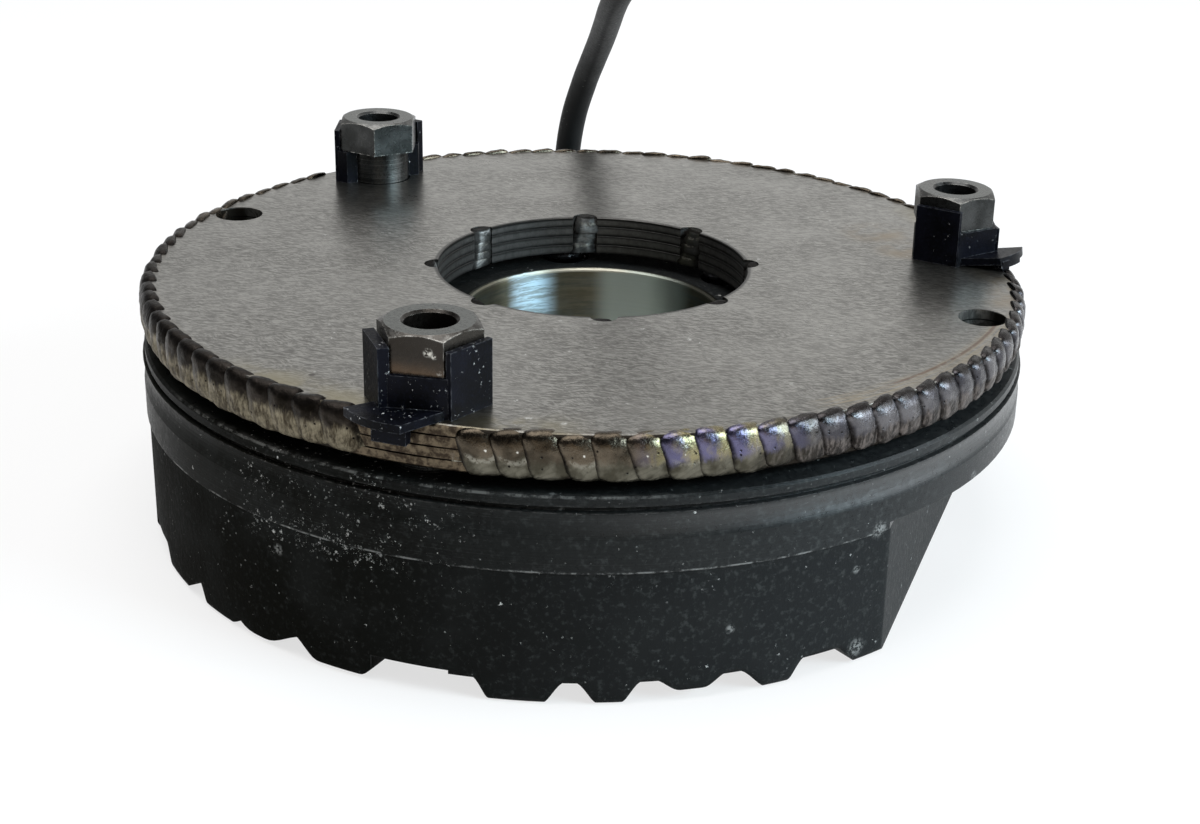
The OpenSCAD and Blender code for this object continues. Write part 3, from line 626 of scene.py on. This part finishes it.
def tack_group():
    """Short welds in the notches of the armature's bore: a few small beads each, stacked and slanting."""
    group, t, given, end = new_group(
        "GeometryNodeTree", "bore tacks",
        [("Geometry", "Geometry", None), ("Tacks", "Int", 8), ("Beads", "Int", 4),
         ("First angle", "Float", 39.0), ("Radius", "Float", 24.0), ("Low", "Float", 31.6),
         ("Step", "Float", 1.15), ("Slant", "Float", 0.8), ("Lowest", "Float", 30.4),
         ("Highest", "Float", 36.24), ("Finish", "Material", None), ("Seed", "Int", 3)] + BEAD_SIZES,
        [("Geometry", "Geometry")])
    count = t.math("MULTIPLY", given["Tacks"], given["Beads"])
    points = t.add("GeometryNodePoints", {"Count": count}).outputs[0]
    tack, number = in_rows(t, given["Beads"])
    middle = t.math("MULTIPLY", t.math("SUBTRACT", given["Beads"], 1.0), 0.5)
    aside = t.both(t.math("SUBTRACT", middle, number), given["Slant"])
    out = t.xyz(*outwards(t, given["First angle"], aside, given["Tacks"], tack))
    height = t.math("ADD", given["Low"], t.both(number, given["Step"]))
    put = put_round(t, points, out, given["Radius"], height)
    facing = t.vector("ADD", t.scaled(out, -1.0), t.xyz(z=random_value(t, 0.0, 0.35, given["Seed"])))
    size = random_value(t, 0.92, 1.06, given["Seed"], 1)
    finish_beads(t, given, end, put, facing, t.xyz(z=1.0), t.xyz(size, size, size))
    return group


BEAD_GROUP = bead_group()


def grown(name, group, **values):
    """A piece made by a geometry tree: its inputs are set, it runs once, and the shape stays as a mesh."""
    holder = bpy.data.objects.new(name, bpy.data.meshes.new(name))
    scene.collection.objects.link(holder)
    modifier = holder.modifiers.new(name, "NODES")
    modifier.node_group = group
    for item in group.interface.items_tree:
        label = item.name.replace(" ", "_")
        if item.item_type == "SOCKET" and item.in_out == "INPUT" and label in values:
            modifier[item.identifier] = values[label]
    return as_mesh(holder)


class WeldFinish(Finish):
    """Weld metal. Its marks follow the bead's own coordinates, from -1 to 1, and a random number for each bead.
    Round the edge, left and right stand apart from the middle, which faces the front."""

    def __init__(self, name):
        super().__init__(name, Metallic=1.0)
        bead = self.add("ShaderNodeAttribute", attribute_name="bead").outputs["Vector"]
        self.across, self.up = self.split(bead)[0:2]
        self.chance = self.add("ShaderNodeAttribute", attribute_name="chance").outputs["Fac"]
        self.slow, self.fine = self.mottled(3.2, 0.45)
        self.left, self.right = self.sector(200, 34, 12), self.sector(326, 38, 12)
        self.sides = self.most(self.left, self.right)
        self.middle = self.ramp(self.sides, 0.0, 0.5, 1.0, 0.0)
        patches = self.noise(self.at, 0.9, 4.0, 0.7, stretch=(1.0, 1.0, 0.45))
        self.ragged = self.both(self.math("SUBTRACT", patches, 0.5), 1.6)
        self.streaks = self.noise(self.at, 1.1, 4.0, 0.75, stretch=(1.0, 1.0, 0.28))

    def frayed(self, value, amount):
        """A value with a ragged border."""
        return self.math("ADD", value, self.both(self.ragged, amount))

    def from_spot(self, spot):
        """Distance from a spot on the bead's face."""
        return self.measure("DISTANCE", self.xyz(self.across, self.up), spot)

    def tempering(self):
        """Tones of the edge weld: black over straw on the left, brown with a violet and gold patch in the
        middle, and grey on the right."""
        patch = self.ramp(self.slow, 0.38, 0.62)
        top = self.mix(patch, (0.050, 0.041, 0.030), (0.115, 0.093, 0.068))
        low = self.mix(patch, (0.060, 0.055, 0.040), (0.150, 0.140, 0.110))
        black = self.mix(patch, (0.016, 0.013, 0.010), (0.045, 0.038, 0.032))
        straw = self.mix(self.ramp(self.streaks, 0.38, 0.62), (0.060, 0.048, 0.032), (0.235, 0.205, 0.145))
        top, low = self.mix(self.left, top, black), self.mix(self.left, low, straw)
        violet_part = self.ramp(self.math("ADD", self.across, self.ragged), -0.5, 0.3)
        violet_gold = self.mix(violet_part, (0.15, 0.145, 0.27), (0.33, 0.29, 0.16))
        top = self.mix(self.both(self.sector(281, 10, 7), 0.75), top, violet_gold)
        grey = self.mix(patch, (0.060, 0.058, 0.066), (0.150, 0.145, 0.152))
        dark_grey = self.mix(self.ramp(self.streaks, 0.42, 0.60), (0.028, 0.024, 0.022), (0.155, 0.135, 0.125))
        top, low = self.mix(self.right, top, grey), self.mix(self.right, low, dark_grey)
        border = self.math("SUBTRACT", self.up, self.both(self.left, 0.22))
        return self.mix(self.ramp(self.frayed(border, 0.6), -0.30, 0.10), low, top)

    def tack_metal(self):
        """Tone of the bore's tacks: pale steel, with painted shade that makes the tack near 35 degrees dimmer.
        """
        # painted shade: the tack near 35 degrees is dimmer
        pale = self.mix(self.sector(35, 16, 10), (0.30, 0.30, 0.29), (0.08, 0.08, 0.06))
        return self.mix(self.ramp(self.slow, 0.38, 0.62), (0.07, 0.07, 0.067), pale)

    def crescent(self):
        """Mask of the pale crescent under a crown in the middle."""
        bow = self.both(self.band(self.from_spot((-0.02, 0.55, 0)), 0.78, 0.03, 0.14),
                        self.ramp(self.up, 0.15, -0.05), self.ramp(self.chance, 0.2, 0.8))
        return self.both(bow, self.ramp(self.fine, 0.42, 0.56), self.middle)

    def painted_highlight_spot(self):
        """Mask of a small painted highlight spot near the crown of most beads in the middle."""
        spot = self.xyz(self.both(self.math("SUBTRACT", self.chance, 0.55), 1.3), 0.22)
        away = self.frayed(self.from_spot(spot), 0.16)
        return self.both(self.ramp(away, 0.02, 0.07, 1.0, 0.0), self.middle, self.ramp(self.chance, 0.30, 0.34))

    def cap(self):
        """Mask of the dark upper border, strongest at the sides."""
        return self.both(self.ramp(self.frayed(self.up, 0.25), 0.60, 0.80),
                         self.math("ADD", self.both(self.sides, 0.7), 0.15))

    def ripples(self):
        """Fine waves round a point above the bead, from -1 to 1."""
        away = self.math("ADD", self.from_spot((-0.9, 1.3, 0)), self.both(self.slow, 0.6))
        return self.math("SINE", self.both(away, 30.0))

    def pits(self):
        """Mask of small round pits along the bead's middle."""
        cells = self.add("ShaderNodeTexVoronoi", {"Vector": self.at, "Scale": 1.1, "Randomness": 1.0})
        return self.both(self.ramp(cells.outputs["Distance"], 0.10, 0.22, 1.0, 0.0),
                         self.ramp(self.split(cells.outputs["Color"])[0], 0.68, 0.72),
                         self.band(self.up, -0.05, 0.4, 0.2))

    def shade_between_beads(self):
        """Mask of the painted shade between the edge weld's beads."""
        borders = self.most(self.ramp(self.across, -0.72, -0.92), self.ramp(self.across, 0.40, 0.60))
        return self.both(borders, self.ramp(self.fine, 0.25, 0.55, 0.45, 1.0),
                         self.ramp(self.up, -0.8, -0.1, 0.35, 1.0))

    def tack_shade(self):
        """Mask of the painted shade along a tack's sides and on its top."""
        slanting = self.math("ABSOLUTE", self.math("ADD", self.across, self.both(self.up, 0.2)))
        return self.most(self.ramp(self.z, PLATE_TOP - 0.5, PLATE_TOP - 0.2),
                         self.both(self.ramp(slanting, 0.30, 0.62), 0.85))


def weld_finish(name, tacks=False):
    """Weld metal: tempered or pale crowns, pale crescents, dark caps, fine ripples below, and painted shade in
    the creases. The edge weld has painted highlight spots and pits too, and the tacks are rougher and flatter."""
    f = WeldFinish(name)
    ripples, pits, lower = f.ripples(), f.pits(), f.ramp(f.up, 0.0, -0.3)
    base = f.tack_metal() if tacks else f.tempering()
    base = f.mix(f.both(f.crescent(), 0.5), base, (0.42, 0.40, 0.34))
    if not tacks:
        # painted highlight: a pale spot near the crown of the middle beads
        base = f.mix(f.both(f.painted_highlight_spot(), 0.8), base, (0.80, 0.78, 0.72))
    base = f.mix(f.cap(), base, (0.020, 0.017, 0.015))
    base = f.mix(f.both(f.ramp(ripples, 0.2, 1.0), lower, 0.2), base, (0.04, 0.035, 0.025))
    # painted shade: in the creases between the edge weld's beads and in its pits, and along and on top of the
    # tacks
    painted_shade = f.tack_shade() if tacks else f.most(f.shade_between_beads(), pits)
    base = f.mix(f.both(painted_shade, 0.9), base, (0.012, 0.010, 0.009))
    height = f.math("ADD", f.both(ripples, lower, 0.2), f.both(f.fine, 1.3))
    height = f.math("ADD", height, f.both(f.streaks, f.sides, 1.6))
    height = f.math("SUBTRACT", height, f.both(pits, 1.5))
    rough = f.math("ADD", f.ramp(f.fine, 0.3, 0.7, 0.18, 0.34), f.both(lower, 0.16))
    rough = f.math("ADD", rough, f.both(f.left, 0.15), clamp=True)
    if tacks:
        rough, height = f.math("ADD", rough, 0.22), f.both(height, 0.4)
    rough = f.math("ADD", rough, f.both(painted_shade, 0.3), clamp=True)
    return f.use(Base_Color=base, Roughness=rough, Normal=f.bump(height, 0.05))


def make_welds():
    """The beads of both welds in place of their CAD nodes."""
    edge = grown("edge_weld_beads", edge_weld_group(), Finish=weld_finish("weld metal"), Seed=5, **BEAD)
    hand_over(edge, "armature", ["rim_weld"])
    tacks = grown("bore_tack_beads", tack_group(), Finish=weld_finish("tack metal", tacks=True), Seed=3,
                  **TACK_BEAD)
    hand_over(tacks, "armature", ["bore_welds"])


make_welds()


# Chips, flecks and heat spots that the photograph shows, as a point and a reach in millimetres
HOUSING_CHIPS = [
    ((2.2, -62.9, 27.4), 0.7), ((-13.9, -61.3, 26.5), 0.6), ((-15.0, -61.1, 28.4), 0.6),
    ((25.2, -58.5, 2.2), 1.7), ((27.5, -57.4, 18.8), 1.6), ((39.5, -49.2, 27.2), 1.0),
    ((44.0, -45.4, 19.6), 1.6), ((-46.5, -43.0, 14.6), 1.1), ((24.4, -58.6, 13.9), 0.8),
    ((7.0, -63.4, 9.4), 0.8)
]
BOLT_CHIPS = [((-28.8, -54.4, 44.5), 0.75), ((-28.1, -54.5, 44.1), 0.5), ((-27.4, -54.5, 42.0), 0.6)]
PLATE_FLECKS = [
    ((-17.9, -50.6, PLATE_TOP), 0.5), ((-17.2, -56.2, PLATE_TOP), 0.7), ((-13.3, -58.3, PLATE_TOP), 0.5),
    ((-4.8, -53.3, PLATE_TOP), 0.35), ((7.5, -32.7, PLATE_TOP), 0.5)
]
HEAT_SPOTS = [
    ((47.2, 10.1, PLATE_TOP), 7.0), ((48.7, 1.3, PLATE_TOP), 6.0), ((59.2, -16.8, PLATE_TOP), 7.0),
    ((55.9, -22.1, PLATE_TOP), 5.0)
]
BURNT_SPOT = ((-41.8, -39.0, PLATE_TOP), 0.55)


def housing_finish():
    """Black paint: rough on the cast side and ribs, with turned lines on the ring, dust on and under the
    parting line at the left, a pale crest on the ring that is partly wear and partly painted highlight, and
    painted light that makes the black lighter to the right."""
    f = Finish("black painted casting", Anisotropic_Rotation=0.25)
    r = f.radius()
    ring = f.ramp(f.z, PARTING_Z - 0.05, PARTING_Z + 0.05)
    turned = f.both(ring, f.ramp(r, 60.0, 61.0))
    slow, fine = f.mottled(13.0, 0.8)
    lines = f.place(TURNED, Along=f.z, Pitch=0.16)
    wear = f.worn(0.4, 0.9, 0.05)
    dust_line = f.both(f.sector(229, 8, 5), f.band(f.z, PARTING_Z - 0.2, 1.0, 2.6))
    dust_fall = f.both(f.sector(231, 10, 8), f.ramp(f.z, PARTING_Z - 1.0, PARTING_Z + 1.0), 0.30)
    dusty = f.most(dust_line, dust_fall)
    specks = f.specks(0.46, 2.0, f.math("ADD", dusty, 0.02))
    fine_dust = f.specks(0.26, 3.0, f.math("ADD", f.both(dusty, 0.8), 0.05))
    # painted light: the black is lighter and bluer to the right, where the lamps fall, and its grain shows more
    # there
    painted_light_to_right = f.ramp(f.math("ADD", f.x, f.both(slow, 20.0)), -45.0, 35.0)
    base = f.mix(painted_light_to_right, (0.0045, 0.0046, 0.0035), (0.0120, 0.0132, 0.0138))
    base = f.mix(f.both(f.ramp(slow, 0.45, 0.7), 0.4), base, (0.0165, 0.0175, 0.0170))
    grains = f.both(f.ramp(fine, 0.50, 0.72), f.ramp(painted_light_to_right, 0.0, 1.0, 0.3, 0.9))
    base = f.mix(grains, base, (0.034, 0.036, 0.035))
    lathe = f.both(turned, f.ramp(lines["Lines"], 0.55, 0.8))
    base = f.mix(f.both(lathe, f.ramp(fine, 0.35, 0.6), 0.5), base, (0.055, 0.056, 0.053))
    # pale crest on the ring: partly wear, partly painted highlight along the edge
    crest = f.both(f.band(f.z, POLE_Z - 0.15, 0.05, 0.15), f.ramp(r, 62.5, 63.2), f.sector(236, 26, 12))
    crest = f.both(crest, f.ramp(f.noise(f.at, 0.5, 4.0, 0.75), 0.42, 0.6))
    base = f.mix(f.both(crest, 0.5), base, (0.20, 0.20, 0.19))
    base = f.mix(f.both(wear, 0.40), base, (0.12, 0.115, 0.11))
    border = f.both(f.band(f.z, PARTING_Z, 0.10, 0.18), f.ramp(r, 63.0, 63.6))
    border = f.both(border, f.ramp(f.noise(f.at, 0.45, 4.0, 0.75), 0.45, 0.62))
    base = f.mix(f.both(border, 0.55), base, (0.26, 0.26, 0.25))
    base = f.mix(f.most(specks, f.both(fine_dust, 0.6)), base, (0.50, 0.50, 0.48))
    base = f.mix(f.both(f.marks(HOUSING_CHIPS), 0.6), base, (0.28, 0.28, 0.27))
    rough = f.math("SUBTRACT", f.ramp(fine, 0.3, 0.7, 0.46, 0.62), f.both(turned, 0.20))
    soft_corner = f.ramp(f.z, PARTING_Z - 0.6, PARTING_Z - 0.2, 0.0018, 0.00012)
    rounded = f.add("ShaderNodeBevel", {"Radius": soft_corner}, samples=6).outputs[0]
    streaks = f.noise(f.at, 0.9, 4.0, 0.7, stretch=(1.0, 1.0, 0.35))
    cast = f.bump(f.math("ADD", fine, f.both(streaks, 0.6)), 0.075, rounded)
    smooth = f.bump(lines["Lines"], 0.016, rounded)
    mixed = f.add("ShaderNodeMix", {0: turned, 4: cast, 5: smooth}, data_type="VECTOR").outputs[1]
    tangent = f.add("ShaderNodeTangent", direction_type="RADIAL", axis="Z").outputs[0]
    cove = f.both(turned, f.band(f.z, 24.8, 0.9, 0.9), f.ramp(f.x, -20.0, 20.0))
    lit_side = f.ramp(f.ramp(f.x, -55.0, 25.0), 0.0, 1.0, 0.1, 1.1)
    gloss = f.both(f.ramp(turned, 0.0, 1.0, 0.06, 0.14), lit_side)
    return f.use(Base_Color=base, Roughness=rough, Normal=mixed, Tangent=tangent,
                 Anisotropic=f.both(turned, 0.8), Specular_IOR_Level=f.math("ADD", f.both(cove, 0.55), gloss))


def sheet_finish():
    """Ground steel: wavy grain, clouds, and heat tints and a thin reddish line near the rim. The rim's side is
    dark but for its bare arcs at the bolts, the bore's side is plain steel, and seams part the sheets."""
    f = Finish("ground steel sheet", Metallic=1.0)
    r = f.radius()
    slow, fine = f.mottled(17.0, 1.0)
    ground = f.place(GRAIN, Turn=math.radians(15.0), Length=1.9, Width=0.34)
    specks = f.specks(0.5, 7.0, 0.05)
    base = f.mix(f.ramp(slow, 0.36, 0.66), (0.128, 0.124, 0.114), (0.194, 0.189, 0.176))
    base = f.mix(f.both(f.ramp(ground["Grain"], 0.44, 0.58), 0.85), base, (0.405, 0.396, 0.372))
    base = f.mix(f.both(ground["Scratches"], 0.30), base, (0.50, 0.50, 0.49))
    tint_noise = f.ramp(f.noise(f.at, 0.16, 3.0, 0.6), 0.35, 0.62)
    warm = f.both(f.ramp(r, 55.0, 62.0), f.most(f.sector(236, 14, 12), f.sector(2, 12, 12)), tint_noise)
    base = f.mix(f.both(warm, 0.75), base, (0.30, 0.265, 0.165))
    heat = f.most(*(f.near(point, reach, 0.8) for point, reach in HEAT_SPOTS))
    base = f.mix(f.both(heat, tint_noise, 0.8), base, (0.255, 0.205, 0.140))
    rim_all = f.both(f.ramp(r, 60.8, 62.6), tint_noise)
    base = f.mix(f.both(rim_all, 0.45), base, (0.20, 0.17, 0.13))
    swept = f.radius(2.2, 1.1)
    along_arc = f.noise(f.xyz(f.both(swept, 2.6), f.both(f.x, 0.12)), 1.0, 3.0, 0.7)
    band = f.both(f.sector(310, 18, 6), f.band(swept, 60.2, 0.9, 1.3), f.ramp(along_arc, 0.40, 0.60))
    base = f.mix(f.both(band, 0.7), base, (0.36, 0.305, 0.215))
    line = f.both(f.sector(316, 13, 5), f.band(swept, 59.4, 0.10, 0.30),
                  f.ramp(f.noise(f.at, 0.7, 3.0, 0.6), 0.30, 0.5))
    base = f.mix(f.both(line, 0.8), base, (0.15, 0.085, 0.055))
    base = f.mix(f.both(f.near(*BURNT_SPOT), 0.8), base, (0.05, 0.04, 0.035))
    base = f.mix(f.both(f.most(specks, f.marks(PLATE_FLECKS)), 0.7), base, (0.78, 0.78, 0.77))
    side = f.ramp(f.z, PLATE_TOP - 0.2, PLATE_TOP - 0.05, 1.0, 0.0)
    bore_side = f.both(side, f.ramp(r, 30.0, 25.0))
    rim_side = f.both(side, f.ramp(r, 58.0, 60.0))
    rust = f.mix(f.ramp(fine, 0.4, 0.62), (0.042, 0.031, 0.022), (0.150, 0.118, 0.080))
    bare = f.most(*(f.sector(angle, 6.5, 1.0) for angle in BOLT_ANGLES))
    base = f.mix(rim_side, base, f.mix(bare, (0.024, 0.020, 0.016), rust))
    bore_steel = f.mix(f.ramp(fine, 0.30, 0.70), (0.110, 0.106, 0.102), (0.160, 0.155, 0.150))
    base = f.mix(f.both(bore_side, 0.9), base, bore_steel)
    # painted shade on the top edge of the bore
    bore_edge_shade = f.both(f.ramp(r, 23.5, 23.1), f.ramp(f.z, PLATE_TOP - 0.6, PLATE_TOP - 0.3))
    base = f.mix(f.both(bore_edge_shade, 0.9), base, (0.035, 0.034, 0.032))
    in_sheet = f.math("FRACT", f.math("DIVIDE", f.math("SUBTRACT", f.z, PLATE_LOW), SHEET))
    from_middle = f.math("ABSOLUTE", f.math("SUBTRACT", in_sheet, 0.5))
    base = f.mix(f.both(bore_side, f.ramp(from_middle, 0.12, 0.46), 0.85), base, (0.022, 0.021, 0.020))
    seam = f.both(f.ramp(from_middle, 0.41, 0.47), f.math("SUBTRACT", 1.0, bore_side))
    base = f.mix(f.both(seam, side, 0.92), base, (0.010, 0.008, 0.007))
    rough = f.math("ADD", f.ramp(slow, 0.3, 0.7, 0.31, 0.25), f.both(side, 0.18))
    rough = f.math("ADD", rough, f.both(ground["Grain"], 0.05))
    height = f.math("ADD", ground["Grain"], f.both(side, fine, 3.0))
    return f.use(Base_Color=base, Roughness=rough, Normal=f.bump(height, 0.012))


def tube_finish():
    """Plated tube with turned lines inside, which stretch every highlight along the bore, a painted pale patch
    and a painted cyan highlight band on the wall, a bright lip with a painted highlight, and painted shade on
    the ring outside the lip."""
    f = Finish("plated tube", Metallic=1.0, Anisotropic=0.95, Anisotropic_Rotation=0.25)
    lines = f.place(TURNED, Along=f.z, Pitch=0.45)
    slow = f.mottled(8.0, 1.2)[0]
    base = f.mix(f.ramp(slow, 0.35, 0.65), (0.105, 0.110, 0.085), (0.170, 0.185, 0.165))
    base = f.mix(f.both(f.ramp(lines["Bands"], 0.45, 0.6), 0.5), base, (0.150, 0.135, 0.085))
    streaky = f.ramp(f.noise(f.at, 1.0, 4.0, 0.75, stretch=(0.12, 0.12, 1.3)), 0.40, 0.60)
    base = f.mix(f.both(streaky, 0.5), base, (0.215, 0.200, 0.140))
    # painted light: a paler, greener patch on the wall near 54 degrees
    base = f.mix(f.both(f.sector(54, 16, 12), 0.8), base, (0.46, 0.53, 0.48))
    # painted highlight: a cyan-white band on the wall near 111 degrees
    painted_cyan_highlight = f.both(f.sector(111, 7, 8), f.ramp(streaky, 0.0, 1.0, 0.35, 1.0))
    base = f.mix(painted_cyan_highlight, base, (0.43, 0.55, 0.62))
    r = f.radius()
    above = f.ramp(f.z, POLE_Z - 0.05, POLE_Z + 0.1)
    # painted shade on the ring outside the lip
    base = f.mix(f.both(above, f.ramp(r, 19.2, 19.5)), base, (0.055, 0.055, 0.045))
    # the bright lip, with a painted highlight strongest near 88 degrees
    painted_lip_highlight = f.math("ADD", f.both(f.sector(88, 16, 12), 0.75), 0.25)
    lip = f.both(above, f.ramp(r, 19.45, 19.25), painted_lip_highlight)
    base = f.mix(lip, base, (0.62, 0.60, 0.50))
    rough = f.ramp(lines["Lines"], 0.3, 0.7, 0.40, 0.50)
    tangent = f.add("ShaderNodeTangent", direction_type="RADIAL", axis="Z").outputs[0]
    return f.use(Base_Color=base, Roughness=rough, Normal=f.bump(lines["Lines"], 0.02), Tangent=tangent)


def bolt_finish():
    """Black oxide over turned steel: a painted coppery reflection on the front bolt, greyer on top, rubbed pale
    and painted with highlight on the bevel, bright on the edges, with turned lines on the barrel."""
    f = Finish("black oxide steel", Metallic=0.9)
    slow, fine = f.mottled(4.0, 0.5)
    lines = f.place(TURNED, Along=f.z, Pitch=0.2)
    wear = f.worn(0.4, 1.2, 0.02)
    slant = f.split(f.add("ShaderNodeNewGeometry").outputs["True Normal"])[2]
    base = f.mix(f.ramp(slow, 0.35, 0.65), (0.028, 0.029, 0.028), (0.062, 0.063, 0.062))
    # painted reflection: a warm coppery tone on the front bolt, fading upwards
    reflection_fade = f.ramp(f.math("ADD", f.z, f.both(slow, 3.0)), 42.4, 45.4)
    copper = f.mix(reflection_fade, (0.115, 0.074, 0.045), (0.030, 0.024, 0.019))
    base = f.mix(f.both(f.near(FRONT_BOLT, 14.0, 0.3), 0.8), base, copper)
    top_tone = f.mix(f.ramp(fine, 0.35, 0.65), (0.070, 0.074, 0.070), (0.130, 0.135, 0.127))
    base = f.mix(f.ramp(slant, 0.9, 0.98), base, top_tone)
    bevel = f.both(f.ramp(slant, 0.2, 0.35), f.ramp(slant, 0.92, 0.8),
                   f.ramp(f.z, HEX_TOP - 2.2, HEX_TOP - 1.8))
    rubbed_and_highlit = f.ramp(f.noise(f.at, 0.55, 3.0, 0.6), 0.40, 0.60, 0.25, 1.0)
    tops = [(BOLTS_R * math.cos(math.radians(angle)), BOLTS_R * math.sin(math.radians(angle)), HEX_TOP)
            for angle in BOLT_ANGLES]
    hole = f.most(*(f.near(top, 4.4, 0.1) for top in tops))
    bevel = f.both(bevel, f.math("SUBTRACT", 1.0, f.both(hole, 0.9)))
    # the bevel made pale: partly wear, partly painted highlight
    base = f.mix(f.both(bevel, rubbed_and_highlit, 0.8), base, (0.26, 0.255, 0.24))
    base = f.mix(f.both(f.marks(BOLT_CHIPS), 0.9), base, (0.66, 0.64, 0.58))
    barrel = f.ramp(f.z, 40.6, 40.2)
    base = f.mix(f.both(barrel, f.ramp(lines["Lines"], 0.45, 0.75), 0.5), base, (0.24, 0.24, 0.23))
    base = f.mix(f.both(wear, 0.85), base, (0.60, 0.58, 0.54))
    rough = f.ramp(fine, 0.3, 0.7, 0.24, 0.38)
    return f.use(Base_Color=base, Roughness=rough, Normal=f.bump(fine, 0.03))


def clip_finish():
    """Moulded blue-black plastic with scuffed edges and pale specks, most of them on the front clip."""
    f = Finish("moulded clip plastic", Specular_IOR_Level=0.06)
    slow, fine = f.mottled(5.0, 0.45)
    wear = f.worn(0.3, 1.6, 0.04)
    specks = f.specks(0.30, 2.6, f.math("ADD", f.both(f.near(FRONT_BOLT, 22.0), 0.20), 0.08))
    base = f.mix(f.ramp(slow, 0.35, 0.65), (0.0016, 0.0017, 0.0026), (0.0036, 0.0040, 0.0072))
    base = f.mix(f.both(f.ramp(fine, 0.5, 0.75), 0.5), base, (0.0080, 0.0090, 0.0170))
    base = f.mix(f.both(wear, 0.45), base, (0.16, 0.165, 0.18))
    base = f.mix(f.both(specks, 0.9), base, (0.62, 0.62, 0.62))
    rough = f.ramp(fine, 0.3, 0.7, 0.30, 0.46)
    return f.use(Base_Color=base, Roughness=rough, Normal=f.bump(fine, 0.035))


def plain_finish(name, dark, light, rough, metallic):
    """A finish with a slow change of tone and a fine grain, for the small and the hidden pieces."""
    f = Finish(name, Metallic=metallic)
    slow, fine = f.mottled(5.0, 0.8)
    base = f.mix(f.ramp(slow, 0.35, 0.65), dark, light)
    tone = f.ramp(fine, 0.3, 0.7, rough - 0.07, rough + 0.07)
    return f.use(Base_Color=base, Roughness=tone, Normal=f.bump(fine, 0.03))


def numbered(name, count):
    """Names of a row of CAD nodes, counted from 1."""
    return [f"{name}_{i}" for i in range(1, count + 1)]


# The plain finishes: the nodes, the dark and the light tone, the roughness, and how metallic each is
PLAIN_FINISHES = {
    "former plastic": (["coil_former"], (0.50, 0.47, 0.39), (0.60, 0.57, 0.49), 0.45, 0.0),
    "enamelled copper": (["coil_winding"], (0.36, 0.12, 0.04), (0.50, 0.19, 0.07), 0.3, 0.9),
    "cast resin": (["potting_ring"], (0.010, 0.010, 0.010), (0.020, 0.020, 0.019), 0.3, 0.0),
    "spring wire": (numbered("spring", 6), (0.26, 0.26, 0.27), (0.36, 0.36, 0.37), 0.3, 1.0),
    "grommet rubber": (["lead_grommet"], (0.009, 0.009, 0.009), (0.020, 0.020, 0.020), 0.6, 0.0),
    "core jacket": (numbered("core", 2), (0.015, 0.015, 0.017), (0.03, 0.03, 0.034), 0.4, 0.0),
    "tinned ferrule": (numbered("ferrule", 2), (0.45, 0.45, 0.46), (0.58, 0.58, 0.59), 0.25, 1.0)
}


def paint_nodes():
    """Gives every CAD node that stays its own finish."""
    paint(housing_finish(), "magnet_housing")
    paint(sheet_finish(), *numbered("armature_sheet", 4))
    paint(tube_finish(), "bore_tube")
    paint(bolt_finish(), *numbered("sleeve_bolt", 3))
    paint(clip_finish(), *numbered("clip", 3))
    for name, (names, *look) in PLAIN_FINISHES.items():
        paint(plain_finish(name, *look), *names)


def squash_springs():
    """Gives each spring its own copy of its mesh."""
    for name in numbered("spring", 6):
        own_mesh(nodes[name])


paint_nodes()
squash_springs()
